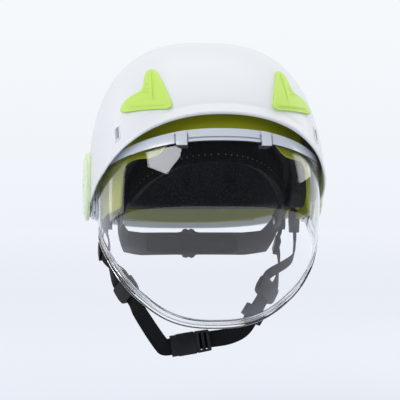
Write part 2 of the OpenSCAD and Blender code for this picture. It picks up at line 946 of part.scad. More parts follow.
// Four bars through the corners of the ratchet case, from y0 to y1 behind the oval's middle
module case_bars(radius, y0, y1) {
  for (x = [-26, 26], z = [-1, 1])
    translate([x, band_y + y0, knob_z + z * (belt_h / 2 + 1.9)])
      rotate([-90, 0, 0]) cylinder(r = radius, h = y1 - y0);
}

module case_screws() {
  color("silver") case_bars(1.3, sqrt(pow(arm_out, 2) - pow(24, 2)), sqrt(pow(case_out, 2) - pow(28, 2)) + 1.4);
}

slot_half = pinion_r + 0.8;

// Curved rack that slides round the nape, layer 0 or 1
module size_belt(layer) {
  inner = belt_in + layer * belt_pitch;
  color("black") difference() {
    intersection() {
      nape_ring(inner, inner + belt_t, -belt_h / 2, belt_h / 2);
      nape_wedge(-7.5, 50);
    }
    intersection() {
      nape_ring(inner - 1, inner + belt_t + 1, -slot_half, slot_half - 0.5);
      nape_wedge(-4.8, 13.5);
    }
    for (i = [-2:6])
      intersection() {
        nape_ring(inner - 1, inner + belt_t + 1, 0, slot_half + 0.3);
        nape_wedge(i * 2 - 0.6, i * 2 + 0.6);
      }
  }
}

module size_belt_left() { size_belt(0); }
module size_belt_right() { right_side() size_belt(1); }

module ratchet_knob() {
  color("black") difference() {
    union() {
      knob_bar(knob_r, case_out + 1, case_out + 1 + knob_l);
      knob_bar(3, belt_in - 0.1, case_out + 2);
    }
    for (i = [0:11])
      translate([0, band_y + case_out, knob_z]) rotate([0, 30 * i, 0])
        translate([knob_r + 1.6, -1, 0]) rotate([-90, 0, 0]) cylinder(r = 3, h = knob_l + 4, $fn = 24);
    difference() {
      knob_bar(knob_r - 4.5, case_out + knob_l - 1, far);
      translate([-2, 0, knob_z - far]) cube([4, far, 2 * far]);
    }
  }
}

pinion_teeth = 10;
tooth_half = 0.6;
root_r = pinion_r - 0.9;

// Outline of the pinion, a tooth pointing up
pinion_line = [
  for (i = [0:pinion_teeth - 1], k = [[root_r, -1], [pinion_r, -1], [pinion_r, 1], [root_r, 1]])
    let (a = 90 + i * 360 / pinion_teeth + k[1] * asin(tooth_half / k[0]))
      [k[0] * cos(a), k[0] * sin(a)]
];

module ratchet_pinion() {
  color("silver") translate([0, band_y + belt_in - 0.1, knob_z]) rotate([-90, 0, 0])
    linear_extrude(2 * belt_pitch + 0.1) difference() {
      polygon(pinion_line);
      circle(r = 3 + running);
    }
}

// Slot in an anchor for the end of a strap, turned to the strap's face
module strap_slot(end) {
  out = outward(end);
  translate([end[0], end[1], -35]) rotate([0, 0, atan2(out[1], out[0])])
    translate([-1.3, -side_w / 2 - 0.7, 0]) cube([2.6, side_w + 1.4, end[2] + 36]);
}

// Clip that straddles the inner shell's edge and takes a strap
module front_anchor_block() {
  p = front_anchor;
  color("dimgray") difference() {
    translate([p[0], p[1], 0]) rotate([0, 90, 0]) {
      linear_extrude(11, center = true)
        polygon(rounded([[10, -7], [21, -7], [33, -4.5], [33, 4.5], [21, 7], [10, 7]], 2));
    }
    intersection() {
      difference() {
        drum(inner_a + 0.1, inner_r + 0.1, lens_n);
        drum(inner_in_a - 0.1, inner_in_r - 0.1, lens_n);
      }
      translate([0, -far, lobe_z - 0.2]) cube([far, 2 * far, far]);
    }
    translate([washer_out - 0.2, -far, -far]) cube([far, 2 * far, 2 * far]);
    strap_slot(front_end);
    anchor_holes();
  }
}

module front_anchor_left() { front_anchor_block(); }
module front_anchor_right() { right_side() front_anchor_block(); }

module rear_anchor_block() {
  p = rear_anchor;
  color("dimgray") difference() {
    translate([p[0], p[1], 0]) rotate([0, 90, 0])
      linear_extrude(10, center = true)
        polygon(rounded([[9, -8], [24, -8], [30, -6], [30, 6], [24, 8], [9, 8]], 2));
    intersection() {
      difference() {
        drum(inner_a + 0.1, inner_r + 0.1, lens_n);
        drum(inner_in_a - 0.1, inner_in_r - 0.1, lens_n);
      }
      translate([0, -far, lobe_z - 0.2]) cube([far, 2 * far, far]);
    }
    strap_slot(rear_end);
    anchor_holes();
  }
}

module rear_anchor_left() { rear_anchor_block(); }
module rear_anchor_right() { right_side() rear_anchor_block(); }

module anchor_rivets() {
  color("silver") both_sides() for (p = [front_anchor, rear_anchor]) {
    translate([p[0] - 4, p[1], lobe_z + 5]) rotate([0, 90, 0]) cylinder(r = 2, h = 8);
  }
}

front_end = [front_anchor[0], front_anchor[1], -26];
rear_end = [rear_anchor[0], rear_anchor[1], -24];

function flip(p) = [-p[0], p[1], p[2]];

// Place on an adjuster: back is the distance behind its middle, across the offset over its width
function join_at(join, toward, back, across) =
  let (x = unit(toward), y = unit(cross(outward(join), x)))
    concat(join - x * back + y * across, [heading(join)]);

// Straight end of a side strap in an adjuster
function join_end(join, toward, across) = [
  join_at(join, toward, 15, across * 1.3), join_at(join, toward, 5, across)
];

// Distance of a side strap from the middle of its adjuster
join_half = side_w / 2 + 0.5;

chin_dir_right = [17, -16, -28];
chin_dir_left = [-14, -12, -21];

front_route_right = concat(
  [flip(front_end), flip(front_end) - [0, 0.5, 9], placed([-101, 12, -45]), placed([-99, 1, -58])],
  join_end(join_right, chin_dir_right, join_half)
);
front_route_left = concat(
  [front_end, front_end - [0, 0.5, 9], placed([97, 9, -46]), placed([90, -5, -60])],
  join_end(join_left, chin_dir_left, -join_half)
);
rear_route_right = concat(
  [flip(rear_end), flip(rear_end) - [0, 0.5, 9], placed([-90, 55, -44]), placed([-92, 30, -58]),
   placed([-92, 0, -71])],
  join_end(join_right, chin_dir_right, -join_half)
);
rear_route_left = concat(
  [rear_end, rear_end - [0, 0.5, 9], placed([87, 56, -43]), placed([85, 32, -57]), placed([78, 0, -70])],
  join_end(join_left, chin_dir_left, join_half)
);

module front_strap_right() { color("black") webbing(front_route_right, side_w); }
module front_strap_left() { color("black") webbing(front_route_left, side_w); }
module rear_strap_right() { color("black") webbing(rear_route_right, side_w); }
module rear_strap_left() { color("black") webbing(rear_route_left, side_w); }

// Plastic slider with a middle bar, on a strap of the given width
module slider(width, length) {
  difference() {
    cube([length, width + 7, web_t + 4], center = true);
    cube([length + 2, width + 2, web_t + 2], center = true);
    for (side = [-1, 1])
      translate([side * length / 4, 0, 2]) cube([length / 5, width + 1, 4], center = true);
  }
}

// Puts a piece on a strap's curve, at its point number i
module place_on(route, i) {
  path = curve([for (p = route) spot(p)]);
  place_at(path[i], path[i + 1] - path[i - 1]) children();
}

module strap_slider_right() { color("black") place_on(front_route_right, 10) slider(side_w, 11); }
module strap_slider_left() { color("black") place_on(rear_route_left, 9) slider(side_w, 11); }
module chin_slider() { color("black") place_on(chin_route_left, 16) slider(chin_w, 12); }

// Three-way piece where the front, rear and chin straps meet
module side_adjuster(join, toward) {
  color("black") place_at(join, toward) difference() {
    translate([0, 0, -3.2]) linear_extrude(6.4)
      polygon(rounded([[-10, -12.5], [3, -13], [9, -11], [9, 11], [3, 13], [-10, 12.5]], 3));
    translate([1.5, -chin_w / 2 - 1.2, -1.6]) cube([far, chin_w + 2.4, 3.2]);
    translate([-far - 2, -far / 2, -2.1]) cube([far, far, 4.2]);
  }
}

module side_adjuster_right() { side_adjuster(join_right, chin_dir_right); }
module side_adjuster_left() { side_adjuster(join_left, chin_dir_left); }

// The left strap runs behind the plug, so the plug slides out along it
behind = buckle_t / 2 + web_t / 2 - 0.1;
chin_route_right = [join_at(join_right, chin_dir_right, -3, 0), join_at(join_right, chin_dir_right, -14, 0),
                    placed([-68, -42, -108]), placed([-57, -49, -126]), placed([-48, -54, -139]),
                    buckle_point(-24), buckle_point(-14.5)];
chin_route_left = [buckle_point(mouth_x + 1, behind), buckle_point(20, behind), buckle_point(38, behind),
                   placed([32, -52, -125]), chin_slide_at, join_at(join_left, chin_dir_left, -14, 0),
                   join_at(join_left, chin_dir_left, -3, 0)];

module chin_strap_right() { color("black") webbing(chin_route_right, chin_w); }
module chin_strap_left() { color("black") webbing(chin_route_left, chin_w); }

module at_buckle() {
  translate(buckle_c) rotate([0, -buckle_tilt, 0]) rotate([90, 0, 0]) children();
}

module buckle_socket() {
  color("black") at_buckle() difference() {
    union() {
      translate([-13.5, 0, -buckle_t / 2]) linear_extrude(buckle_t)
        polygon(rounded([[0, -buckle_w / 2], [mouth_x + 13.5, -buckle_w / 2],
                         [mouth_x + 13.5, buckle_w / 2], [0, buckle_w / 2]], 1.5));
      translate([-half_buckle, -buckle_w / 2 + 0.5, -buckle_t / 2 + 0.8])
        cube([6, buckle_w - 1, buckle_t - 1.6]);
    }
    translate([-12, -7, -1.6]) cube([far, 14, 3.2]);
    for (side = [-1, 1])
      translate([-9.5, side * 9 - 4, -1.8]) cube([9, 8, 3.6]);
    for (side = [-1, 1])
      translate([-1, side * 6.4 - 2.2, -1.8]) cube([far, 4.4, 3.6]);
    translate([-far, -chin_w / 2 - 0.6, -web_t / 2 - 0.7]) cube([far - 13.5, chin_w + 1.2, web_t + 1.4]);
  }
}

module buckle_plug() {
  color("black") at_buckle() difference() {
    union() {
      translate([mouth_x + 0.4, 0, -buckle_t / 2 + 0.4]) linear_extrude(buckle_t - 0.8)
        polygon(rounded([[0, -buckle_w / 2], [half_buckle - mouth_x - 0.4, -buckle_w / 2 + 0.5],
                         [half_buckle - mouth_x - 0.4, buckle_w / 2 - 0.5], [0, buckle_w / 2]], 1.2));
      translate([-9, -1.5, -1.2]) cube([15, 3, 2.4]);
      for (side = [-1, 1])
        translate([0, 0, -1.2]) linear_extrude(2.4)
          polygon([[6, side * 5], [-5, side * 5], [-9, side * 5], [-9, side * 6.4],
                   [-5, side * 8.2], [-3.5, side * 6.6], [6, side * 6.6]]);
    }
    for (x = [mouth_x + 3.5, mouth_x + 8.5])
      translate([x, -chin_w / 2 - 0.4, -far / 2]) cube([2.4, chin_w + 0.8, far]);
  }
}

outer_shell();
inner_shell();
liner();
shell_spacer();
spacer_screws();
vent_insert_left();
vent_insert_right();
accessory_slot_left();
accessory_slot_right();
pivot_cover_left();
pivot_cover_right();
pivot_pin_left();
pivot_pin_right();
pivot_screws();
pivot_washers();
detent_ring_left();
detent_ring_right();
visor_lens();
visor_frame();
frame_seal();
visor_clip_left();
visor_clip_right();
visor_hub_left();
visor_hub_right();
headband();
band_hangers();
brow_pad();
crown_pad_middle();
crown_pad_left();
crown_pad_right();
cradle_pivots();
rear_cradle();
nape_pad();
ratchet_case();
case_screws();
size_belt_left();
size_belt_right();
ratchet_knob();
ratchet_pinion();
front_anchor_left();
front_anchor_right();
rear_anchor_left();
rear_anchor_right();
anchor_rivets();
front_strap_left();
front_strap_right();
rear_strap_left();
rear_strap_right();
strap_slider_left();
strap_slider_right();
side_adjuster_left();
side_adjuster_right();
chin_strap_left();
chin_strap_right();
chin_slider();
buckle_socket();
buckle_plug();
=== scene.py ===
import bpy
import json
import math
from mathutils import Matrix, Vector

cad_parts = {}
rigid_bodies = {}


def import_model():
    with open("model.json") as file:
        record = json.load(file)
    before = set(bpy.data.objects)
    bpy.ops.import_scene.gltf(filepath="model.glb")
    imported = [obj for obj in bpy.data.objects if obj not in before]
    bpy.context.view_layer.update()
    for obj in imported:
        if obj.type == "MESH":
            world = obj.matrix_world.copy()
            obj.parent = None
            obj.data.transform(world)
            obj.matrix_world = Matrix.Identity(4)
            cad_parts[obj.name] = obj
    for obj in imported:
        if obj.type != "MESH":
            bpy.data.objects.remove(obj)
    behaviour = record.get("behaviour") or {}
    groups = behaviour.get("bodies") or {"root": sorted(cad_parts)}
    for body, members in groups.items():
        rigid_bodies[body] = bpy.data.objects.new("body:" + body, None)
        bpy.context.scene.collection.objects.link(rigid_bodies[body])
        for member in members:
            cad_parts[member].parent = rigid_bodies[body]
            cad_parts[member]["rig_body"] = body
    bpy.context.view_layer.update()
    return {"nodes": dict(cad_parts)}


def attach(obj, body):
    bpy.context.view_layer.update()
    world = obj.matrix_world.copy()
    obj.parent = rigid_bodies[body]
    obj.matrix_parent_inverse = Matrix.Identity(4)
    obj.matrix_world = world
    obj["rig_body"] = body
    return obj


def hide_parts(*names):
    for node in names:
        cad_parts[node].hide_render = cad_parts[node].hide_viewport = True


# A rescue helmet, dressed for its picture. Sizes in the dictionaries are in millimetres.
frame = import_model()
mm = 0.001
print("frame loaded, nodes:", len(frame["nodes"]))


# Handling of pieces

def objectMode():
    if bpy.context.mode != "OBJECT":
        bpy.ops.object.mode_set(mode="OBJECT")


def pick(*pieces):
    objectMode()
    bpy.ops.object.select_all(action="DESELECT")
    for piece in pieces:
        piece.select_set(True)
    if pieces:
        bpy.context.view_layer.objects.active = pieces[0]


def openMesh(piece, kind="VERT", action="SELECT"):
    pick(piece)
    bpy.ops.object.mode_set(mode="EDIT")
    bpy.ops.mesh.select_mode(type=kind)
    bpy.ops.mesh.select_all(action=action)


def tidyMesh(piece, merge=0.002):
    openMesh(piece)
    bpy.ops.mesh.remove_doubles(threshold=merge * mm)
    bpy.ops.mesh.normals_make_consistent(inside=False)
    objectMode()
    return piece


def runModifiers(piece):
    pick(piece)
    for modifier in list(piece.modifiers):
        bpy.ops.object.modifier_apply(modifier=modifier.name)
    return piece


def removePieces(*pieces):
    for piece in pieces:
        bpy.data.objects.remove(piece)


def copyPiece(piece, name):
    twin = bpy.data.objects.new(name, piece.data.copy())
    bpy.context.scene.collection.objects.link(twin)
    return twin


def mirrorPiece(piece, name):
    twin = copyPiece(piece, name)
    openMesh(twin)
    bpy.ops.transform.mirror(constraint_axis=(True, False, False), center_override=(0, 0, 0))
    bpy.ops.mesh.normals_make_consistent(inside=False)
    objectMode()
    return twin


def mirrorAndDrop(piece):
    twin = mirrorPiece(piece, piece.name + "_twin")
    removePieces(piece)
    return twin


def drawLine(name, points):
    # One vertex at the first point, extruded from point to point
    pick()
    bpy.ops.mesh.primitive_plane_add(size=0.01)
    piece = bpy.context.object
    piece.name = name
    openMesh(piece)
    bpy.ops.mesh.merge(type="CENTER")
    bpy.ops.transform.translate(value=Vector(points[0]) * mm)
    for before, after in zip(points, points[1:]):
        step = (Vector(after) - Vector(before)) * mm
        bpy.ops.mesh.extrude_region_move(TRANSFORM_OT_translate={"value": step})
    return piece


def drawPrism(name, outline, depth):
    # A closed outline, filled and pushed along depth
    piece = drawLine(name, outline + outline[:1])
    bpy.ops.mesh.select_all(action="SELECT")
    bpy.ops.mesh.remove_doubles(threshold=0.002 * mm)
    bpy.ops.mesh.edge_face_add()
    bpy.ops.mesh.extrude_region_move(TRANSFORM_OT_translate={"value": Vector(depth) * mm})
    return tidyMesh(piece)


def frontPrism(name, outline, back=0, depth=220):
    return drawPrism(name, [(x, back, z) for x, z in outline], (0, -depth, 0))


def sidePrism(name, outline, halfWidth=220):
    return drawPrism(name, [(-halfWidth, y, z) for y, z in outline], (2 * halfWidth, 0, 0))


def box(name, low, high):
    return drawPrism(name, [(low[0], low[1], low[2]), (high[0], low[1], low[2]), (high[0], high[1], low[2]),
                            (low[0], high[1], low[2])], (0, 0, high[2] - low[2]))


def turnDrum(name, form, rows=96, turns=192):
    # The shells' common form: a squarish outline spun about the visor axis
    halfWidth, radius, squareness = form
    piece = drawLine(name, [(-x, 0, z) for x, z in arch(halfWidth, radius, squareness, steps=rows)])
    bpy.ops.mesh.select_all(action="SELECT")
    bpy.ops.mesh.spin(steps=turns, angle=math.tau, center=(0, 0, 0), axis=(1, 0, 0))
    return tidyMesh(piece, 0.01)


def axle(name, radius, start, end, sides=96):
    # A round bar along the visor axis
    pick()
    bpy.ops.mesh.primitive_cylinder_add(vertices=sides, radius=radius * mm, depth=abs(end - start) * mm,
                                        location=((start + end) / 2 * mm, 0, 0),
                                        rotation=(0, math.pi / 2, 0))
    piece = bpy.context.object
    piece.name = name
    bpy.ops.object.transform_apply(location=True, rotation=True, scale=True)
    return piece


def combine(piece, other, operation="DIFFERENCE", solver="EXACT"):
    modifier = piece.modifiers.new("cut", "BOOLEAN")
    modifier.operation = operation
    modifier.solver = solver
    modifier.object = other
    runModifiers(piece)
    removePieces(other)
    return piece


def roundEdges(piece, width, segments=2, angle=35, clamp=False):
    modifier = piece.modifiers.new("edges", "BEVEL")
    modifier.width = width * mm
    modifier.segments = segments
    modifier.limit_method = "ANGLE"
    modifier.angle_limit = math.radians(angle)
    modifier.use_clamp_overlap = clamp
    return runModifiers(piece)


def smooth(piece, angle=35):
    pick(piece)
    bpy.ops.object.shade_smooth_by_angle(angle=math.radians(angle))
    return piece


def borrowNormals(piece, guides, reach=0.05):
    # Clean reflections on a cut shell: its normals come from the uncut drums
    for guide in guides:
        pick(guide)
        bpy.ops.object.shade_smooth()
    if len(guides) > 1:
        pick(*guides)
        bpy.ops.object.join()
    guide = bpy.context.view_layer.objects.active
    modifier = piece.modifiers.new("normals", "DATA_TRANSFER")
    modifier.object = guide
    modifier.use_loop_data = True
    modifier.data_types_loops = {"CUSTOM_NORMAL"}
    modifier.loop_mapping = "POLYINTERP_NEAREST"
    modifier.use_max_distance = True
    modifier.max_distance = reach * mm
    runModifiers(piece)
    removePieces(guide)
    return piece


def shapedGrid(name, columns, rows, placeOf, clothOf=None, merge=0.02):
    # A grid primitive whose points go where placeOf(column, row) puts them
    pick()
    bpy.ops.mesh.primitive_grid_add(x_subdivisions=columns, y_subdivisions=rows, size=1)
    piece = bpy.context.object
    piece.name = name
    mesh = piece.data
    keys = [(round((v.co.x + 0.5) * columns), round((v.co.y + 0.5) * rows)) for v in mesh.vertices]
    layer = mesh.uv_layers.active
    layer.name = "cloth"
    for vertex, key in zip(mesh.vertices, keys):
        vertex.co = Vector(placeOf(*key)) * mm
    if clothOf:
        for loop in mesh.loops:
            layer.data[loop.index].uv = [c * mm for c in clothOf(*keys[loop.vertex_index])]
    return tidyMesh(piece, merge)


def closeEnds(piece):
    # Fills the open ends of a swept tube
    openMesh(piece, "EDGE", "DESELECT")
    bpy.ops.mesh.select_non_manifold()
    bpy.ops.mesh.fill(use_beauty=True)
    objectMode()
    return tidyMesh(piece)


def dress(piece, body, material, slot, *nodes):
    # Material, body, slot (not used), and the CAD nodes that the piece stands for
    piece.data.materials.clear()
    piece.data.materials.append(material)
    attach(piece, body)
    if nodes:
        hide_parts(*nodes)
    return piece


def dressPair(left, angle, material, slot, node):
    # The wearer's left piece and its mirror image, both on the shell
    right = smooth(mirrorPiece(left, left.name.replace("_left_", "_right_")), angle)
    dress(left, "shell", material, slot, node + "_left")
    dress(right, "shell", material, slot, node + "_right")


# Curves and outlines

def mix(a, b, t):
    return a + (b - a) * t


def ease(value, low, high):
    t = min(max((value - low) / (high - low), 0), 1)
    return t * t * (3 - 2 * t)


def readLine(points, at):
    # Height of a line of (place, height) points, given from the lowest place
    for (a, low), (b, high) in zip(points, points[1:]):
        if at <= b:
            return mix(low, high, min(max((at - a) / (b - a), 0), 1))
    return points[-1][1]


def lengthsAlong(points):
    lengths = [0]
    for a, b in zip(points, points[1:]):
        lengths.append(lengths[-1] + (Vector(b) - Vector(a)).length)
    return lengths


def evenly(points, count):
    # The same line with count equal steps
    lengths = lengthsAlong(points)
    line, j = [], 0
    for i in range(count + 1):
        at = lengths[-1] * i / count
        while j < len(points) - 2 and lengths[j + 1] < at:
            j += 1
        span = max(lengths[j + 1] - lengths[j], 1e-9)
        line.append(Vector(points[j]).lerp(Vector(points[j + 1]), min((at - lengths[j]) / span, 1)))
    return line


def flow(points, count):
    # Smooth curve through points, count steps between two of them
    line = []
    for i in range(len(points) - 1):
        a, b, c, d = (Vector(points[min(max(k, 0), len(points) - 1)]) for k in (i - 1, i, i + 1, i + 2))
        for j in range(count):
            t = j / count
            line.append(0.5 * (2 * b + (c - a) * t + (2 * a - 5 * b + 4 * c - d) * t * t
                               + (3 * b - a - 3 * c + d) * t * t * t))
    return line + [Vector(points[-1])]


def flowRing(points, count):
    # The same for a closed ring
    ring = points[-2:] + points + points[:2]
    return flow(ring, count)[2 * count:(2 + len(points)) * count]


def scaled(points, middle, factor):
    return [(middle[0] + (x - middle[0]) * factor, middle[1] + (z - middle[1]) * factor) for x, z in points]


def squared(value, squareness):
    return math.copysign(abs(value) ** (2 / squareness), value)


def arch(halfWidth, height, squareness, steps=64):
    turns = [math.pi * i / steps for i in range(steps + 1)]
    return [(halfWidth * squared(math.cos(turn), squareness),
             height * squared(max(math.sin(turn), 0), squareness)) for turn in turns]


def archHeight(x, halfWidth, height, squareness, foot):
    if abs(x) >= halfWidth:
        return -999
    return foot + height * (1 - (abs(x) / halfWidth) ** squareness) ** (1 / squareness)


def grown(form, by):
    return (form[0] + by, form[1] + by, form[2])


def drumRadius(x, form):
    halfWidth, radius, squareness = form
    return radius * (1 - min(abs(x) / halfWidth, 1) ** squareness) ** (1 / squareness)


def drumPoint(direction, form):
    halfWidth, radius, squareness = form
    x, y, z = direction
    size = (abs(x) / halfWidth) ** squareness + (math.hypot(y, z) / radius) ** squareness
    return Vector(direction) * size ** (-1 / squareness)


def borderPoint(directionAt, low, high, halvings, form, inside):
    # Where inside() turns false on a drum, in the directions between two angles
    for _ in range(halvings):
        turn = (low + high) / 2
        point = drumPoint(directionAt(turn), form)
        if inside(point):
            low = turn
        else:
            high = turn
    return point


def rimDirections(form, below, count):
    # Directions to the line round a dome above which below() is false
    loop = []
    for i in range(1441):
        turn = math.tau * i / 1440
        x, y = math.sin(turn), math.cos(turn)
        loop.append(borderPoint(lambda rise: (x * math.cos(rise), y * math.cos(rise), math.sin(rise)),
                                -1.2, 1.55, 26, form, below))
    return [point.normalized() for point in evenly(loop, count)]


def domeShell(name, outside, inside, below, numbers, lift=None):
    # A dome with a rim. The section lists (wall, distance from the rim): wall 0 is the inside, 1 the outside
    columns, domeRows, section = (numbers[key] for key in ("columns", "domeRows", "section"))
    rim = rimDirections(outside, below, columns)
    crown = Vector((0, 0, 1))
    gap = section[-1][1]
    inner = [(0, 0, 1 - i / domeRows) for i in range(domeRows)]
    outer = [(1, 0, (i + 1) / domeRows) for i in range(domeRows)]
    rows = inner + [(wall, distance, None) for wall, distance in section] + outer

    def placeOf(column, row):
        wall, distance, share = rows[row]
        start = rim[column]
        whole = start.angle(crown)
        reach = drumPoint(start, outside).length
        if share is None:
            turn = distance / reach
        else:
            turn = mix(gap / reach, whole, share)
        side = (crown - start * crown.dot(start)).normalized()
        direction = start * math.cos(turn) + side * math.sin(turn)
        out, within = drumPoint(direction, outside), drumPoint(direction, inside)
        point = within.lerp(out, wall)
        if lift and wall > 0.5:
            point += direction * lift(reach * turn, point) * min(1, 2 * wall - 1)
        return point

    return shapedGrid(name, columns, len(rows) - 1, placeOf)


# Materials

def feed(tree, node, inputs):
    # Numbers, colours or other nodes' outputs on a node's inputs
    for name, value in inputs.items():
        if isinstance(value, bpy.types.NodeSocket):
            tree.links.new(value, node.inputs[name])
        else:
            node.inputs[name].default_value = value


def addNode(tree, kind, inputs, **settings):
    node = tree.nodes.new("ShaderNode" + kind)
    for name, value in settings.items():
        setattr(node, name, value)
    feed(tree, node, inputs)
    return node


def freshMaterial(name):
    material = bpy.data.materials.new(name)
    material.use_nodes = True
    tree = material.node_tree
    tree.nodes.clear()
    shader = addNode(tree, "BsdfPrincipled", {})
    addNode(tree, "OutputMaterial", {"Surface": shader.outputs["BSDF"]})
    return material, tree, shader


def objectCoordinates(tree, scale=(1, 1, 1)):
    place = addNode(tree, "TexCoord", {}).outputs["Object"]
    return addNode(tree, "Mapping", {"Vector": place, "Scale": scale}).outputs["Vector"]


def clothCoordinates(tree):
    return addNode(tree, "UVMap", {}, uv_map="cloth").outputs["UV"]


def splitVector(tree, vector):
    return addNode(tree, "SeparateXYZ", {"Vector": vector}).outputs


def noiseField(tree, vector, scale, detail=3, roughness=0.5):
    return addNode(tree, "TexNoise", {"Vector": vector, "Scale": scale, "Detail": detail,
                                      "Roughness": roughness}).outputs["Fac"]


def cellField(tree, vector, scale, feature="F1", scatter=1.0):
    return addNode(tree, "TexVoronoi", {"Vector": vector, "Scale": scale, "Randomness": scatter},
                   feature=feature).outputs["Distance"]


def waveField(tree, vector, axis, scale):
    return addNode(tree, "TexWave", {"Vector": vector, "Scale": scale}, bands_direction=axis,
                   wave_profile="SIN").outputs["Fac"]


def remap(tree, value, start, end, low, high):
    # value from start to end becomes low to high
    return addNode(tree, "MapRange", {"Value": value, "From Min": start, "From Max": end, "To Min": low,
                                      "To Max": high}).outputs["Result"]


def blendColours(tree, factor, first, second):
    node = addNode(tree, "Mix", {}, data_type="RGBA")
    sockets = [socket for socket in node.inputs if socket.enabled]
    tree.links.new(factor, sockets[0])
    for socket, colour in zip(sockets[1:], (first, second)):
        if isinstance(colour, tuple):
            socket.default_value = (*colour, 1)
        else:
            tree.links.new(colour, socket)
    return next(socket for socket in node.outputs if socket.enabled)


def addBump(tree, shader, height, depth, before=None):
    inputs = {"Strength": 1, "Distance": depth * mm, "Height": height}
    if before:
        inputs["Normal"] = before
    normal = addNode(tree, "Bump", inputs).outputs["Normal"]
    feed(tree, shader, {"Normal": normal})
    return normal


def mathNode(tree, operation, *values):
    return addNode(tree, "Math", dict(enumerate(values)), operation=operation).outputs["Value"]


def farness(tree, x, y):
    squares = (mathNode(tree, "MULTIPLY", value, value) for value in (x, y))
    return mathNode(tree, "SQRT", mathNode(tree, "ADD", *squares))


def mixShaders(tree, factor, first, second, kind="OUTPUT_MATERIAL"):
    either = addNode(tree, "MixShader", {"Fac": factor, 1: first, 2: second})
    feed(tree, next(node for node in tree.nodes if node.type == kind), {"Surface": either.outputs["Shader"]})


def raysOf(tree, *kinds):
    # The greatest of these outputs of the light path
    rays = addNode(tree, "LightPath", {})
    share = rays.outputs[kinds[0]]
    for kind in kinds[1:]:
        share = mathNode(tree, "MAXIMUM", share, rays.outputs[kind])
    return share


def mouldedPlastic(name, look):
    # Slow colour drift, a fine grain and a slightly uneven gloss
    material, tree, shader = freshMaterial(name)
    vector = objectCoordinates(tree)
    drift = noiseField(tree, vector, 18, 3)
    dark = tuple(c * (1 - look["drift"]) for c in look["colour"])
    handled = noiseField(tree, vector, 60, 5, 0.6)
    gloss = look["gloss"]
    feed(tree, shader, {"Base Color": blendColours(tree, drift, dark, look["colour"]),
                        "Roughness": remap(tree, handled, 0.3, 0.7, gloss * 0.82, gloss * 1.22)})
    normal = addBump(tree, shader, noiseField(tree, vector, look.get("grainScale", 2400), 2), look["grain"])
    if "wave" in look:
        addBump(tree, shader, noiseField(tree, vector, 55, 2), look["wave"], normal)
    feed(tree, shader, look["sockets"])
    return material


shellWhite = mouldedPlastic("shellWhitePaint", {
    "colour": (0.80, 0.815, 0.845), "drift": 0.015, "gloss": 0.42, "grain": 0.001, "wave": 0.012,
    "sockets": {"Coat Weight": 0.25, "Coat Roughness": 0.22, "IOR": 1.45},
})
slotWhite = mouldedPlastic("slotWhitePlastic", {
    "colour": (0.84, 0.85, 0.90), "drift": 0.03, "gloss": 0.42, "grain": 0.01, "sockets": {"IOR": 1.5},
})
ventLime = mouldedPlastic("ventLimePlastic", {
    "colour": (0.585, 0.83, 0.145), "drift": 0.07, "gloss": 0.44, "grain": 0.02, "grainScale": 1900,
    "sockets": {"Subsurface Weight": 0.15, "Subsurface Radius": (0.9, 1.0, 0.3), "Subsurface Scale": 0.002},
})
innerLime = mouldedPlastic("innerLimePlastic", {
    "colour": (0.36, 0.385, 0.016), "drift": 0.1, "gloss": 0.42, "grain": 0.012,
    "sockets": {"IOR": 1.45, "Specular IOR Level": 0.25},
})
coverLime = mouldedPlastic("coverLimePlastic", {
    "colour": (0.79, 0.94, 0.60), "drift": 0.05, "gloss": 0.22, "grain": 0.004,
    "sockets": {"Transmission Weight": 0.12, "Coat Weight": 0.4, "Coat Roughness": 0.1},
})
frameGrey = mouldedPlastic("framePaleGrey", {
    "colour": (0.66, 0.70, 0.77), "drift": 0.03, "gloss": 0.13, "grain": 0.001,
    "sockets": {"Coat Weight": 0.6, "Coat Roughness": 0.05, "IOR": 1.55},
})
blackPlastic = mouldedPlastic("blackNylon", {
    "colour": (0.009, 0.0095, 0.011), "drift": 0.25, "gloss": 0.42, "grain": 0.02, "grainScale": 1700,
    "sockets": {"IOR": 1.5, "Specular IOR Level": 0.3},
})
greyPlastic = mouldedPlastic("darkGreyNylon", {
    "colour": (0.03, 0.032, 0.036), "drift": 0.2, "gloss": 0.4, "grain": 0.02, "grainScale": 1700,
    "sockets": {"IOR": 1.5, "Specular IOR Level": 0.35},
})


def rubberMaterial():
    material, tree, shader = freshMaterial("sealRubber")
    vector = objectCoordinates(tree)
    dust = noiseField(tree, vector, 140, 5, 0.65)
    feed(tree, shader, {"Base Color": blendColours(tree, dust, (0.012, 0.012, 0.013), (0.035, 0.035, 0.037)),
                        "Roughness": remap(tree, dust, 0, 1, 0.55, 0.8)})
    addBump(tree, shader, noiseField(tree, vector, 900, 3), 0.03)
    return material


def steelMaterial():
    material, tree, shader = freshMaterial("brushedSteel")
    lines = noiseField(tree, objectCoordinates(tree, (1, 14, 14)), 420, 4, 0.6)
    feed(tree, shader, {"Base Color": blendColours(tree, lines, (0.50, 0.50, 0.52), (0.68, 0.68, 0.70)),
                        "Roughness": remap(tree, lines, 0, 1, 0.2, 0.4), "Metallic": 1.0})
    addBump(tree, shader, lines, 0.01)
    return material


def foamMaterial():
    # Moulded bead foam: rounded cells with thin dark seams between them
    material, tree, shader = freshMaterial("beadFoam")
    vector = objectCoordinates(tree)
    seams = remap(tree, cellField(tree, vector, 330, "DISTANCE_TO_EDGE"), 0, 0.25, 0, 1)
    spread = remap(tree, cellField(tree, vector, 330), 0, 0.8, 0.3, 1)
    bead = blendColours(tree, spread, (0.038, 0.04, 0.044), (0.024, 0.025, 0.028))
    feed(tree, shader, {"Base Color": blendColours(tree, seams, (0.008, 0.008, 0.009), bead),
                        "Roughness": remap(tree, noiseField(tree, vector, 200, 3), 0, 1, 0.55, 0.75),
                        "Specular IOR Level": 0.2})
    addBump(tree, shader, seams, 0.25)
    return material


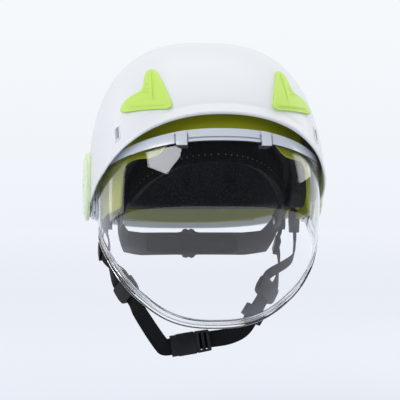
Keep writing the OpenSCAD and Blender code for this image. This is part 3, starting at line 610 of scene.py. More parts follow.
def padMaterial(name, dots=None):
    # Spacer mesh fabric. dots gives the row of punched holes, in the pad's own cloth map
    material, tree, shader = freshMaterial(name)
    vector = objectCoordinates(tree)
    knots = remap(tree, cellField(tree, vector, 620, scatter=0.6), 0.25, 0.6, 1, 0)
    wear = noiseField(tree, vector, 70, 4, 0.6)
    cloth = blendColours(tree, wear, (0.006, 0.0065, 0.0075), (0.012, 0.0125, 0.014))
    colour = blendColours(tree, knots, (0.002, 0.002, 0.0025), cloth)
    height = knots
    if dots:
        across, up, _ = splitVector(tree, clothCoordinates(tree))
        away = farness(tree, mathNode(tree, "PINGPONG", across, dots["pitch"] / 2 * mm),
                       mathNode(tree, "SUBTRACT", up, dots["row"] * mm))
        holes = remap(tree, away, dots["radius"] * 0.6 * mm, dots["radius"] * mm, 1, 0)
        colour = blendColours(tree, holes, colour, dots["colour"])
        height = mathNode(tree, "SUBTRACT", knots, mathNode(tree, "MULTIPLY", holes, 3.0))
    addBump(tree, shader, height, 0.12)
    feed(tree, shader, {"Base Color": colour, "Roughness": 0.85, "Specular IOR Level": 0.12,
                        "Sheen Weight": 0.03, "Sheen Roughness": 0.45})
    return material


def webbingMaterial():
    # Woven nylon tape: two crossing ribs, with a painted highlight that makes the raised ribs lighter. The
    # cloth map is in metres
    material, tree, shader = freshMaterial("wovenWebbing")
    vector = clothCoordinates(tree)
    along = waveField(tree, vector, "Y", 150)
    across = waveField(tree, vector, "X", 260)
    weaveRibsAndHighlight = mathNode(tree, "MULTIPLY", along, across)
    wear = noiseField(tree, objectCoordinates(tree), 90, 4, 0.6)
    base = blendColours(tree, wear, (0.002, 0.0025, 0.003), (0.005, 0.006, 0.007))
    addBump(tree, shader, mathNode(tree, "ADD", weaveRibsAndHighlight, mathNode(tree, "MULTIPLY", along, 0.6)), 0.16)
    # Painted highlight: the raised ribs of the weave are coloured lighter than the tape
    feed(tree, shader, {"Base Color": blendColours(tree, weaveRibsAndHighlight, base, (0.011, 0.012, 0.014)),
                        "Roughness": 0.72, "Specular IOR Level": 0.15, "Sheen Weight": 0.02,
                        "Sheen Roughness": 0.4})
    return material


def lensMaterial():
    # Clear polycarbonate. Light reaches what is behind it without bending
    material, tree, shader = freshMaterial("clearLens")
    haze = noiseField(tree, objectCoordinates(tree), 30, 4)
    feed(tree, shader, {"Base Color": (0.985, 0.993, 1.0, 1), "Transmission Weight": 1.0, "IOR": 1.5,
                        "Roughness": remap(tree, haze, 0.3, 0.7, 0.0, 0.015)})
    clear = addNode(tree, "BsdfTransparent", {"Color": (0.96, 0.97, 0.98, 1)})
    soft = raysOf(tree, "Is Shadow Ray", "Is Diffuse Ray")
    mixShaders(tree, soft, shader.outputs["BSDF"], clear.outputs["BSDF"])
    return material


sealRubber = rubberMaterial()
brushedSteel = steelMaterial()
beadFoam = foamMaterial()
padMesh = padMaterial("padMesh")
browMesh = padMaterial("browPadMesh", {"pitch": 7.4, "row": 6.0, "radius": 0.75, "colour": (0.18, 0.19, 0.2)})
wovenWebbing = webbingMaterial()
clearLens = lensMaterial()
print("materials ready")


# Outer shell

shellForm = (114, 156, 2.7)
shellInside = (111.5, 153.5, 2.7)
sideFoot = -6
pinHole = 6.05

outerShell = {
    "columns": 420, "domeRows": 44,
    "edge": [(-170, 94), (-112, 50), (-92, 35), (-45, 10.5), (-12, 0), (10, -1.5), (170, -25.5)],
    # The brim's half width, rise and squareness
    "brim": (111.6, 81.3, 2.12),
    "lip": 0.9, "lipHeight": 2.4, "flare": 2.2, "flareHeight": 13.5, "crease": 0.5,
    "section": [(0, 14), (0.06, 8), (0.25, 4.5), (0.42, 2.4), (0.5, 1.2), (0.56, 0.5), (0.66, 0.12),
                (0.8, 0.0), (0.92, 0.15), (0.98, 0.5)]
               + [(1, distance) for distance in (1.1, 2.0, 3, 3.6, 4.2, 4.8, 5.6, 6.8, 8.2, 9.8, 11.4, 13,
                                                 15, 17.5, 20.5, 24)],
}


def underBrim(point):
    limit = sideFoot + readLine(outerShell["edge"], point.y)
    if point.y < 0:
        limit = max(limit, archHeight(point.x, *outerShell["brim"], sideFoot))
    return point.z < limit


def brimLift(distance, point):
    # The rim's small lip, and the flare of the front brim with the soft crease above it
    lip, flare, height = outerShell["lip"], outerShell["flare"], outerShell["flareHeight"]
    front = ease(-point.y, 55, 95) * (1 - ease(abs(point.x), 62, 88))
    rise = lip * (1 - ease(distance, outerShell["lipHeight"] - 0.6, outerShell["lipHeight"] + 1.6))
    rise += front * flare * (1 - ease(distance, 1, height))
    near = (distance - height + 1) / 2.2
    return rise - front * outerShell["crease"] * math.exp(-near * near)


vents = {
    "outline": [(66.4, 116.5), (64.4, 119.9), (60.4, 121.2), (56.9, 119.2), (54.0, 110.8), (51.0, 101.8),
                (48.6, 93.2), (46.6, 85.6), (47.4, 82.0), (51.2, 80.5), (60, 80.4), (69.7, 80.2),
                (79.5, 79.8), (86.4, 79.0), (90.0, 80.6), (89.4, 85), (85.8, 91), (80.5, 95), (75.4, 97.8),
                (71.8, 100.4), (69.6, 105), (68.1, 111.5)],
    "middle": (63, 92), "window": 0.74, "columns": 176,
    # (share of the outline, height over the shell) from the plug in the shell to the crown
    "section": [(0.0, -2.3), (0.4, -2.3), (0.72, -2.3), (0.72, -1.2), (0.72, 0.0), (0.86, 0.0), (1.0, 0.0),
                (1.0, 0.5), (1.0, 1.1), (0.996, 1.6), (0.986, 2.1), (0.97, 2.5), (0.95, 2.75), (0.925, 2.9),
                (0.9, 2.98)],
    "crownRows": 56, "stand": 3.2, "reliefFrom": 8,
}
ventLine = [tuple(point)[:2] for point in flowRing([(x, z, 0) for x, z in vents["outline"]], 4)]

shell = domeShell("outer_shell_paint", shellForm, shellInside, underBrim, outerShell, brimLift)
uncut = copyPiece(shell, "uncut_shell")
window = scaled(ventLine, vents["middle"], vents["window"])
for side in (1, -1):
    combine(shell, frontPrism("ventCut", [(side * x, z) for x, z in window]))
    combine(shell, axle("pinCut", pinHole, side * 106, side * 119))

# Holes for lamp or ear muff, each a little larger than its plastic sleeve
accessorySlot = {"x": 93.48, "turn": 32, "size": (9, 16, 16)}


def slotBox(side):
    # Block through the shell's wall at an accessory slot
    x, turn = accessorySlot["x"], math.radians(accessorySlot["turn"])
    halfWidth, reach, power = shellForm
    radius = drumRadius(x, shellForm)
    lean = math.atan2(x ** (power - 1) / halfWidth ** power, radius ** (power - 1) / reach ** power)
    pick()
    bpy.ops.mesh.primitive_cube_add(size=1)
    piece = bpy.context.object
    openMesh(piece)
    bpy.ops.transform.resize(value=[length * mm for length in accessorySlot["size"]])
    objectMode()
    piece.rotation_mode = "XYZ"
    piece.rotation_euler = (0, lean, 0)
    bpy.ops.object.transform_apply(location=False, rotation=True, scale=False)
    piece.rotation_euler = (math.pi / 2 - turn, 0, 0)
    bpy.ops.object.transform_apply(location=False, rotation=True, scale=False)
    piece.location = (x * mm, -radius * math.cos(turn) * mm, radius * math.sin(turn) * mm)
    bpy.ops.object.transform_apply(location=True, rotation=False, scale=False)
    return piece if side > 0 else mirrorAndDrop(piece)


for side in (1, -1):
    combine(shell, slotBox(side))
smooth(shell, 40)
borrowNormals(shell, [uncut])
dress(shell, "shell", shellWhite, "shell_white", "outer_shell")
print("outer shell ready")


# Vent inserts

ventRelief = {"slit": (60.2, 62.2), "slitDepth": 1.2, "ribHeight": 0.45, "ribPitch": 3.0, "inletDepth": 1.3}


def ventDetail(x, z, share):
    # Slit, ribs and the low air inlet, as a change of height
    inner = 1 - ease(share, 0.8, 0.94)
    slit = mix(*ventRelief["slit"], min(max((122 - z) / 30, 0), 1))
    change = -ventRelief["slitDepth"] * (1 - ease(abs(x - slit), 0.25, 1.6)) * inner * ease(z, 84, 94)
    ribs = ease(z, 94, 96) * (1 - ease(z, 106, 108)) * ease(x, 65, 67) * inner
    change += ventRelief["ribHeight"] * math.cos((z - 95) * math.tau / ventRelief["ribPitch"]) * ribs
    low = (1 - ease(z, 81.5, 85.5)) * ease(x, 49, 54) * (1 - ease(x, 80, 86))
    change -= ventRelief["inletDepth"] * low * (1 - ease(share, 0.93, 1.0))
    return change


def buildVent():
    ring = evenly([(x, z, 0) for x, z in ventLine + ventLine[:1]], vents["columns"])
    edge, edgeHeight = vents["section"][-1]
    section = vents["section"] + [(edge * (1 - (i + 1) / vents["crownRows"]), None)
                                  for i in range(vents["crownRows"])]

    def placeOf(column, row):
        share, height = section[row]
        x = mix(vents["middle"][0], ring[column].x, share)
        z = mix(vents["middle"][1], ring[column].y, share)
        if height is None:
            height = mix(vents["stand"], edgeHeight, (share / edge) ** 3)
        if row > vents["reliefFrom"]:
            height += ventDetail(x, z, share)
        return (x, -math.sqrt(max(drumRadius(x, grown(shellForm, height)) ** 2 - z * z, 0)), z)

    return smooth(shapedGrid("vent_insert_left_lime", vents["columns"], len(section) - 1, placeOf), 50)


dressPair(buildVent(), 50, ventLime, "lime", "vent_insert")
print("vents ready")


# Pivot covers

pivotCover = {
    "halfLength": 29, "halfHeight": 34, "middle": (4, 13), "columns": 144,
    # (how far in from the edge, height over x = 114); the first four rows lie on the shell
    "section": [(29, 0), (16, 0), (3, 0), (0.3, 0), (0, 0.7), (0, 1.3), (0, 1.8), (0.15, 2.3), (0.5, 2.9),
                (1.1, 3.4), (1.9, 3.8), (2.9, 4.15), (4.2, 4.45), (6, 4.7), (8.5, 4.9), (11.5, 5.0),
                (14, 5.05), (18, 5.1), (23, 5.1), (29, 5.1)],
    # The ring groove: radius, from and to, and the same for what stays inside it
    "ring": (15, 118.3, 120), "ringCore": (13.6, 117, 121),
}


def buildCover():
    middle, halfLength, halfHeight = (pivotCover[key] for key in ("middle", "halfLength", "halfHeight"))
    halfWidth, radius, squareness = shellForm

    def placeOf(column, row):
        turn = math.tau * column / pivotCover["columns"]
        inset, height = pivotCover["section"][row]
        y = middle[0] + (halfLength - inset) * math.cos(turn)
        z = middle[1] + (halfHeight - inset * halfHeight / halfLength) * math.sin(turn)
        shellSide = halfWidth * (1 - (math.hypot(y, z) / radius) ** squareness) ** (1 / squareness)
        return (mix(shellSide + 0.05, halfWidth + height, min(max(row - 3, 0) / 2, 1)), y, z)

    last = len(pivotCover["section"]) - 1
    piece = shapedGrid("pivot_cover_left_lime", pivotCover["columns"], last, placeOf)
    ring = axle("coverRing", *pivotCover["ring"], sides=128)
    combine(ring, axle("ringHole", *pivotCover["ringCore"], sides=128))
    combine(piece, ring)
    return smooth(piece, 30)


dressPair(buildCover(), 30, coverLime, "lime", "pivot_cover")
print("pivot covers ready")


# Inner shell and liner

innerForm = (101, 141.5, 2.5)
innerInside = (99, 139.5, 2.5)
linerForm = (98.7, 139.2, 2.5)
hollowForm = (84, 122, 2.5)

innerShell = {
    "columns": 480, "domeRows": 36,
    # Half of the face opening from the middle out: (x, height), and the side edge: (y, height)
    "opening": [(0, 55), (45, 53), (51, 47), (56, 41), (61, 37.6), (67, 36.2), (76, 35.4), (82, 33.5),
                (86, 29.5), (87.6, 23), (88.6, 10), (89.5, -19)],
    "edge": [(-170, 60), (-112, 20), (-98, 0), (-88, -8), (-70, -12), (-40, -15), (-6, -19), (26, -19),
             (36, -9), (48, -11), (53, -19), (71, -19), (76, -14), (170, -27)],
    "section": [(0, 12), (0, 6), (0, 2), (0, 0.9), (0.15, 0.3), (0.5, 0.0), (0.85, 0.3), (1, 0.9), (1, 2),
                (1, 4), (1, 8), (1, 13)],
}
foamLiner = {
    # face: half width, rise and squareness of the opening
    "columns": 300, "domeRows": 30, "face": (89, 54, 3), "foot": -8,
    "edge": [(-170, 80), (-90, 47), (-58, 27), (-46, 6), (-28, -8), (170, -8)],
    "section": [(0, 14), (0, 8), (0.01, 5), (0.05, 3), (0.12, 1.4), (0.22, 0.5), (0.35, 0.1), (0.5, 0.0),
                (0.75, 0.0), (0.9, 0.2), (0.97, 0.7), (1, 1.6), (1, 4), (1, 9)],
    # Air channels under the crown: their middles, half their width, their foot and their outside
    "channels": (-46, 0, 46), "channelHalf": 5, "channelFoot": 20, "channelForm": (88, 126, 2.5),
}


def underLobes(point):
    limit = readLine(innerShell["edge"], point.y)
    if point.y < 0 and abs(point.x) < innerShell["opening"][-1][0]:
        limit = max(limit, readLine(innerShell["opening"], abs(point.x)))
    return point.z < limit


def underLiner(point):
    limit = max(readLine(foamLiner["edge"], point.y), foamLiner["foot"])
    if point.y < 0:
        limit = max(limit, archHeight(point.x, *foamLiner["face"], sideFoot))
    return point.z < limit


inner = domeShell("inner_shell_lime", innerForm, innerInside, underLobes, innerShell)
for side in (1, -1):
    combine(inner, axle("pinCut", pinHole, side * 94, side * 106))
smooth(inner, 40)
dress(inner, "shell", innerLime, "lime", "inner_shell")

liner = domeShell("liner_foam", linerForm, hollowForm, underLiner, foamLiner)
for x in foamLiner["channels"]:
    half, foot = foamLiner["channelHalf"], foamLiner["channelFoot"]
    tool = turnDrum("channelTool", foamLiner["channelForm"], 48, 120)
    combine(tool, box("slab", (x - half, -150, foot), (x + half, 150, foot + 200)), "INTERSECT")
    combine(liner, tool, solver="FAST")
for side in (1, -1):
    combine(liner, axle("pinCut", 11, side * 93, side * 101), solver="FAST")
smooth(liner, 40)
dress(liner, "shell", beadFoam, "foam_black", "liner")
print("inner shell and liner ready")


# Visor

lensForm = (106, 148, 2.5)
lensInside = (104, 146, 2.5)
visor = {
    "halfWidth": 110, "top": 66, "topSquareness": 2.4, "low": 127, "ear": 22, "earHole": 17,
    "rise": [(10, 21), (-37, 22.5), (-57, 32.5), (-86, 42.5), (-120, 54), (-170, 71)],
    "fall": [(10, -21), (-10, -22), (-22, -28), (-40, -41), (-58, -58), (-70, -75), (-79, -98), (-84, -125),
             (-86, -170)],
    "flare": 4.2, "frameFlare": 3.0,
    # Arches over the brow: (half width, height, squareness)
    "lensTop": (113, 61.4, 2.23), "frameTop": (113.7, 62.6, 2.23), "frameLow": (111.5, 51.5, 2.3),
    "frameWall": 2,
    # The clips' outer edges, and the gap round them: half its width, its foot and its top
    "clips": (33.6, 44.4), "clipGap": (0.75, 40, 57),
    "groove": (-3.9, -2.4), "grooveDepth": 0.2, "sealWall": 1.5, "sealGap": 0.15, "sealWidth": 0.9,
}
lensRim = {
    "columns": 420, "centre": (0, -1, -0.35), "turns": (20, -200), "foot": -27, "width": 13.2,
    # Rolled rim of the lens: (in from the edge, height over the lens), round the section
    "section": [(0.0, -1.0), (0.1, -0.1), (0.45, 0.65), (1.1, 1.15), (2.0, 1.35), (3.0, 1.3), (3.9, 1.0),
                (4.5, 0.5), (4.9, 0.1), (5.6, 0), (7.2, 0), (7.7, 0.2), (8.2, 0.65), (8.9, 0.85), (9.6, 0.8),
                (10.2, 0.5), (10.6, 0.1), (11.2, 0), (12.2, 0), (12.7, -0.1), (13.2, -0.3),
                (13.2, -2), (12.2, -2), (10.8, -2.05), (10.2, -2.4), (9.4, -2.7), (8.6, -2.6), (8.0, -2.2),
                (7.4, -2), (5.6, -2), (4.9, -2.15), (4.3, -2.7), (3.4, -3.1), (2.0, -3.2), (0.9, -2.9),
                (0.3, -2.1)],
}


def visorZone():
    # What the visor covers, seen from the front and from the side
    front = arch(visor["halfWidth"], visor["top"], visor["topSquareness"])
    low = [(x, -z) for x, z in arch(visor["halfWidth"], visor["low"], 2)]
    side = visor["rise"] + [(-170, -170)] + visor["fall"][::-1]
    return combine(frontPrism("visorZone", front + low[::-1][1:-1]), sidePrism("zoneSide", side), "INTERSECT")


def underArch(name, numbers, back=60, drop=0):
    halfWidth, height, squareness = numbers
    return frontPrism(name, arch(halfWidth, height - drop, squareness)
                      + [(-halfWidth, -150), (halfWidth, -150)], back, 220 + back)


def flared(piece, flare=visor["flare"]):
    # The visor spreads a little in front of its ears
    for vertex in piece.data.vertices:
        x, y = vertex.co.x / mm, vertex.co.y / mm
        reach = flare * ease(abs(x), 52, 98) * ease(-y, 20, 46)
        vertex.co.x += math.copysign(reach * mm, x)
    return piece


def drumNormal(point, form):
    halfWidth, radius, squareness = form
    far = max(math.hypot(point.y, point.z), 1e-6)
    x = math.copysign((abs(point.x) / halfWidth) ** (squareness - 1) / halfWidth, point.x)
    out = (far / radius) ** (squareness - 1) / radius
    return Vector((x, out * point.y / far, out * point.z / far)).normalized()


def belowLens(point):
    low = readLine(visor["fall"][::-1], point.y)
    if abs(point.x) < visor["halfWidth"]:
        low = max(low, -visor["low"] * math.sqrt(1 - (point.x / visor["halfWidth"]) ** 2))
    return point.z < low


def lensEdge():
    # The lens's lower edge from ear to ear, found outwards from its middle
    middle = Vector(lensRim["centre"]).normalized()
    side = Vector((1, 0, 0))
    up = middle.cross(side).normalized()
    if up.z < 0:
        up = -up
    line, tries = [], 1200
    for i in range(tries + 1):
        turn = math.radians(mix(*lensRim["turns"], i / tries))
        toward = side * math.cos(turn) + up * math.sin(turn)
        point = borderPoint(lambda t: middle * math.cos(t) + toward * math.sin(t), 0.05, 1.75, 28, lensForm,
                            lambda point: not belowLens(point))
        if point.z < lensRim["foot"]:
            line.append(point)
    return evenly(line, lensRim["columns"])


rimLine = lensEdge()


def sweepRim(name, section, taper=True):
    last, wall = len(rimLine) - 1, lensForm[0] - lensInside[0]
    middle = Vector(lensRim["centre"]).normalized() * lensForm[1]

    def placeOf(column, row):
        inward, height = section[column % len(section)]
        point = rimLine[row]
        along = (rimLine[min(row + 1, last)] - rimLine[max(row - 1, 0)]).normalized()
        across = drumNormal(point, lensForm).cross(along).normalized()
        if across.dot(middle - point) < 0:
            across = -across
        place = drumPoint((point + across * inward).normalized(), lensForm)
        if taper:
            # The rolls on both faces fade out towards the ears
            share = ease(min(row, last - row), 0, 30)
            if height > 0:
                height *= share
            elif height < -wall:
                height = (height + wall) * share - wall
        return place + drumNormal(place, lensForm) * height

    return closeEnds(shapedGrid(name, len(section), last, placeOf))


def buildLens():
    lens = turnDrum("visor_lens_clear", lensForm)
    ears = combine(visorZone(), axle("ear", visor["ear"], -140, 140), "UNION")
    combine(lens, ears, "INTERSECT")
    combine(lens, underArch("lensTop", visor["lensTop"]), "INTERSECT")
    combine(lens, turnDrum("lensHollow", lensInside))
    width = lensRim["width"] + 0.03
    combine(lens, sweepRim("rimCut", [(-5, -6), (-5, 6), (width, 6), (width, -6)], False))
    combine(lens, axle("earHole", visor["earHole"], -140, 140))
    tidyMesh(lens, 0.25)
    roundEdges(lens, 0.2, 2, 40)
    smooth(flared(lens), 30)
    within = turnDrum("guideIn", lensInside)
    openMesh(within)
    bpy.ops.mesh.flip_normals()
    return borrowNormals(lens, [flared(turnDrum("guideOut", lensForm)), flared(within)])


dress(buildLens(), "visor", clearLens, "lens_clear", "visor_lens")
rim = smooth(flared(sweepRim("visor_rim_clear", lensRim["section"])), 50)
dress(rim, "visor", clearLens, "lens_clear")
print("lens ready")


def browBand(name, top, low, drop=0):
    band = combine(underArch(name, top), underArch("bandLow", low, 80, drop))
    combine(band, box("bandBack", (-200, -48, -200), (200, 100, 200)))
    return combine(band, box("bandFoot", (-200, -230, -200), (200, 100, 15)))


def buildFrame():
    piece = turnDrum("visor_frame_band", grown(lensForm, visor["frameWall"]))
    combine(piece, browBand("frameBand", visor["frameTop"], visor["frameLow"]), "INTERSECT")
    combine(piece, turnDrum("frameHollow", grown(lensInside, -visor["frameWall"])))
    half, foot, top = visor["clipGap"]
    floorForm = grown(lensForm, visor["grooveDepth"])
    for side in (1, -1):
        for x in visor["clips"]:
            gap = frontPrism("clipGap", [(side * (x - half), foot), (side * (x + half), foot),
                                         (side * (x + half), top), (side * (x - half), top)])
            combine(gap, turnDrum("gapDepth", floorForm, 48, 96))
            combine(piece, gap)
    # Groove from clip to clip
    end, (upper, lower) = visor["clips"][0], visor["groove"]
    groove = combine(underArch("groove", visor["frameLow"], drop=upper),
                     underArch("grooveLow", visor["frameLow"], 80, lower))
    combine(groove, box("grooveEnds", (-end, -230, -200), (end, 100, 200)), "INTERSECT")
    combine(groove, turnDrum("grooveDepth", floorForm, 48, 96))
    combine(piece, groove)
    tidyMesh(piece, 0.1)
    roundEdges(piece, 0.5, 3, 40, clamp=True)
    smooth(flared(piece, visor["frameFlare"]), 40)
    guide = turnDrum("guideFrame", grown(lensForm, visor["frameWall"]))
    return borrowNormals(piece, [flared(guide, visor["frameFlare"])])


def buildSeal():
    # The thin rubber lip under the frame, on the lens
    piece = turnDrum("frame_seal_rubber", grown(lensForm, visor["sealWall"]))
    band = browBand("sealBand", visor["frameLow"], visor["frameLow"], visor["sealWidth"])
    combine(piece, band, "INTERSECT")
    combine(piece, turnDrum("sealHollow", grown(lensForm, visor["sealGap"])))
    for first, last in ((34, 44), (-44, -34)):
        combine(piece, box("clipSpace", (first, -230, 0), (last, 0, 100)))
    tidyMesh(piece, 0.05)
    return smooth(flared(piece), 40)


dress(buildFrame(), "visor", frameGrey, "frame_grey", "visor_frame")
dress(buildSeal(), "visor", sealRubber, "seal_black", "frame_seal")
print("visor frame ready")


# Pads

headOval = {"halfWidth": 80.6, "middle": 19.6, "front": 120, "mean": 90, "squareness": 2.2, "wall": 1.6}
# The band's lower edge passes (y, z) at this slope
bandEdge = {"at": (-12, -12), "slope": 0.551}
browPad = {"thickness": 8, "gap": 0.5, "overhang": 2.2, "columns": 120, "columnWidth": 2.35, "fine": 4,
           "firstStep": 4, "steps": 24}


def bandLow(y):
    return bandEdge["at"][1] - (y - bandEdge["at"][0]) * bandEdge["slope"]


def drawIn(s):
    # Narrowing of a pad towards its ends
    return max(1 - abs(2 * s - 1) ** 4, 0) ** 0.45


def wrapSection(k):
    # The padded wrap, as (outward from the band's inside, height), fuller where k is 1
    wall, gap, thick = headOval["wall"], browPad["gap"], browPad["thickness"]
    foot = browPad["overhang"] - gap
    return [(3, 0.6), (3.4, 4 + 9 * k), (3, 4 + 17 * k), (wall + gap, 4 + 18 * k), (wall + gap, foot),
            (-gap, foot), (-gap, 5 + 17 * k), (-1 - thick * 0.5 * k, 5 + 18 * k),
            (-1 - thick * k, 4 + 11 * k), (-1 - thick * k, 3 + 4 * k), (-1 - thick * 0.6 * k, 0.5), (1, -0.8)]


def buildBrowPad():
    def parts(row):
        s = row / browPad["columns"]
        turn = math.pi + (browPad["firstStep"] + s * browPad["steps"]) * math.pi / 32
        across = squared(math.cos(turn), headOval["squareness"])
        ahead = squared(math.sin(turn), headOval["squareness"])
        ring = flowRing([(x, z, 0) for x, z in wrapSection(drawIn(0.01 + 0.98 * s))], browPad["fine"])
        low = bandLow(headOval["middle"] + headOval["front"] * ahead) - browPad["overhang"]
        return across, ahead, low, ring

    table = [parts(row) for row in range(browPad["columns"] + 1)]
    middleRing = table[browPad["columns"] // 2][3]
    count = len(middleRing)

    def placeOf(column, row):
        across, ahead, low, ring = table[row]
        out = ring[column % count]
        return ((headOval["halfWidth"] + out.x) * across,
                headOval["middle"] + (headOval["front"] + out.x) * ahead, low + out.y)

    def clothOf(column, row):
        return (row * browPad["columnWidth"], middleRing[column % count].y)

    return smooth(closeEnds(shapedGrid("brow_pad_cloth", count, browPad["columns"], placeOf, clothOf)), 60)


# Air in the pads, and the furthest that it may push a point, in millimetres
padAir = {"brow": (60, 1.1), "crown": (4, 1.3), "nape": (16, 1.1)}
padFrames = 20


def swell(piece, held, pressure, cap):
    # Air pressure fills the pad where it is free. The side on its carrier is pinned
    rest = [vertex.co.copy() for vertex in piece.data.vertices]
    group = piece.vertex_groups.new(name="held")
    group.add([i for i, point in enumerate(rest) if held(point / mm)], 1.0, "REPLACE")
    cloth = piece.modifiers.new("air", "CLOTH")
    cloth.settings.vertex_group_mass = "held"
    cloth.settings.use_pressure = True
    cloth.settings.uniform_pressure_force = pressure
    cloth.settings.effector_weights.gravity = 0
    cloth.point_cache.frame_start = 1
    cloth.point_cache.frame_end = padFrames
    for number in range(1, padFrames + 1):
        bpy.context.scene.frame_set(number)
    filled = piece.evaluated_get(bpy.context.evaluated_depsgraph_get()).to_mesh()
    places = [vertex.co.copy() for vertex in filled.vertices]
    piece.modifiers.remove(cloth)
    bpy.context.scene.frame_set(1)
    most = 0
    for vertex, place, start in zip(piece.data.vertices, places, rest):
        move = place - start
        if move.length > cap * mm:
            move = move.normalized() * cap * mm
        most = max(most, move.length)
        vertex.co = start + move
    piece.vertex_groups.clear()
    piece.modifiers.new("soft", "SUBSURF").levels = 1
    piece.modifiers["soft"].render_levels = 1
    runModifiers(piece)
    smooth(piece, 60)
    print(piece.name, "filled, most moved", round(most / mm, 2), "mm")


def cushionPoint(t):
    # Section of a cushion: (across, height), square above and flat below the widest place
    squareness, widest = 2.6, 0.12
    across = squared(math.cos(t), squareness)
    if math.sin(t) < 0:
        return across, widest - widest * math.sqrt(-math.sin(t))
    return across, widest + (1 - widest) * squared(math.sin(t), squareness)


def buildCushion(name, rows, columns, placeOn):
    # placeOn(s, across, height, narrowing) lays the cushion on what carries it
    def placeOf(column, row):
        s = 0.02 + 0.96 * row / rows
        across, height = cushionPoint(math.tau * column / columns)
        return placeOn(s, across, height, drawIn(s))

    return smooth(closeEnds(shapedGrid(name, columns, rows, placeOf)), 60)


# (middle, half width, and the first and last turn from the front over the crown in degrees)
crownPads = {
    "crown_pad_middle": (0, 19, 58, 122), "crown_pad_left": (46, 15, 52, 124),
    "crown_pad_right": (-46, 15, 52, 124),
}
crownThickness = 6


def crownPlace(middle, halfWidth, first, last):
    def placeOn(s, across, height, k):
        turn = math.radians(mix(first, last, s))
        x = middle + halfWidth * k * across
        radius = drumRadius(x, hollowForm) - 0.3 - crownThickness * (0.15 + 0.85 * k) * height
        return (x, -radius * math.cos(turn), radius * math.sin(turn))
    return placeOn


napePad = {"turn": 38, "middle": -45, "halfHeight": 11, "thickness": 8}


def napePlace(s, across, height, k):
    turn = math.radians(mix(-napePad["turn"], napePad["turn"], s))
    radius = headOval["halfWidth"] + headOval["wall"] - 0.1
    radius -= napePad["thickness"] * (0.15 + 0.85 * k) * height
    return (radius * math.sin(turn), headOval["middle"] + radius * math.cos(turn),
            napePad["middle"] - napePad["halfHeight"] * (0.5 + 0.5 * k) * across)


def heldByBand(point):
    # The wrap round the headband keeps its place; the forehead side is free
    across, ahead = point.x / headOval["halfWidth"], (point.y - headOval["middle"]) / headOval["front"]
    power = headOval["squareness"]
    reach = (abs(across) ** power + abs(ahead) ** power) ** (1 / power)
    return reach > 1 - headOval["wall"] / headOval["mean"]


def onLiner(point):
    return drumRadius(point.x, hollowForm) - math.hypot(point.y, point.z) < 1.9


def onCradle(point):
    return math.hypot(point.x, point.y - headOval["middle"]) > headOval["halfWidth"]


def finishPad(pad, held, air, body, material, node):
    swell(pad, held, *padAir[air])
    dress(pad, body, material, "pad_fabric", node)


finishPad(buildBrowPad(), heldByBand, "brow", "shell", browMesh, "brow_pad")
for node, numbers in crownPads.items():
    cushion = buildCushion(node + "_cloth", 60, 56, crownPlace(*numbers))
    finishPad(cushion, onLiner, "crown", "shell", padMesh, node)
cushion = buildCushion("nape_pad_cloth", 80, 56, napePlace)
finishPad(cushion, onCradle, "nape", "cradle", padMesh, "nape_pad")
print("pads ready")


# Harness webbing

webbing = {"wall": 1.4, "fine": 12}
buckleMiddle, buckleTilt = Vector((-20, -55, -138)), math.radians(9)
frontEnd = (99, 17, -26)
rearEnd = (92, 62, -24)
joinRight, joinLeft = (-79, -30, -88), (57, -40, -89)
towardRight, towardLeft = (17, -16, -28), (-14, -12, -21)


def heading(point):
    # Which way a strap's face looks, in degrees from straight ahead
    if len(point) > 3:
        return point[3]
    return math.degrees(math.atan2(0.5 * point[0], -point[1] if point[1] < 0 else -0.2 * point[1]))


def faceOf(degrees):
    return Vector((math.sin(math.radians(degrees)), -math.cos(math.radians(degrees)), 0))


def joinAt(join, toward, back, across):
    x = Vector(toward).normalized()
    y = faceOf(heading(join)).cross(x).normalized()
    return (*(Vector(join) - x * back + y * across), heading(join))


def joinEnd(join, toward, across):
    return [joinAt(join, toward, 15, across * 1.3), joinAt(join, toward, 5, across)]


def bucklePoint(x, back=0):
    return (*(buckleMiddle + Vector((x * math.cos(buckleTilt), back, x * math.sin(buckleTilt)))), 0)


def startDown(end, side):
    return [(side * end[0], end[1], end[2]), (side * end[0], end[1] - 0.5, end[2] - 9)]


# (width, route)
straps = {
    "front_strap_right": (10, startDown(frontEnd, -1) + [(-101, 12, -45), (-99, 1, -58)]
                          + joinEnd(joinRight, towardRight, 5.5)),
    "front_strap_left": (10, startDown(frontEnd, 1) + [(97, 9, -46), (90, -5, -60)]
                         + joinEnd(joinLeft, towardLeft, -5.5)),
    "rear_strap_right": (10, startDown(rearEnd, -1) + [(-90, 55, -44), (-92, 30, -58), (-92, 0, -71)]
                         + joinEnd(joinRight, towardRight, -5.5)),
    "rear_strap_left": (10, startDown(rearEnd, 1) + [(87, 56, -43), (85, 32, -57), (78, 0, -70)]
                        + joinEnd(joinLeft, towardLeft, 5.5)),
    "chin_strap_right": (16, [joinAt(joinRight, towardRight, -3, 0), joinAt(joinRight, towardRight, -14, 0),
                              (-68, -42, -108), (-57, -49, -126), (-48, -54, -139), bucklePoint(-24),
                              bucklePoint(-14.5)]),
    "chin_strap_left": (16, [bucklePoint(6, 4.2), bucklePoint(20, 4.2), bucklePoint(38, 4.2),
                             (32, -52, -125), (42, -50.5, -111), joinAt(joinLeft, towardLeft, -14, 0),
                             joinAt(joinLeft, towardLeft, -3, 0)]),
}


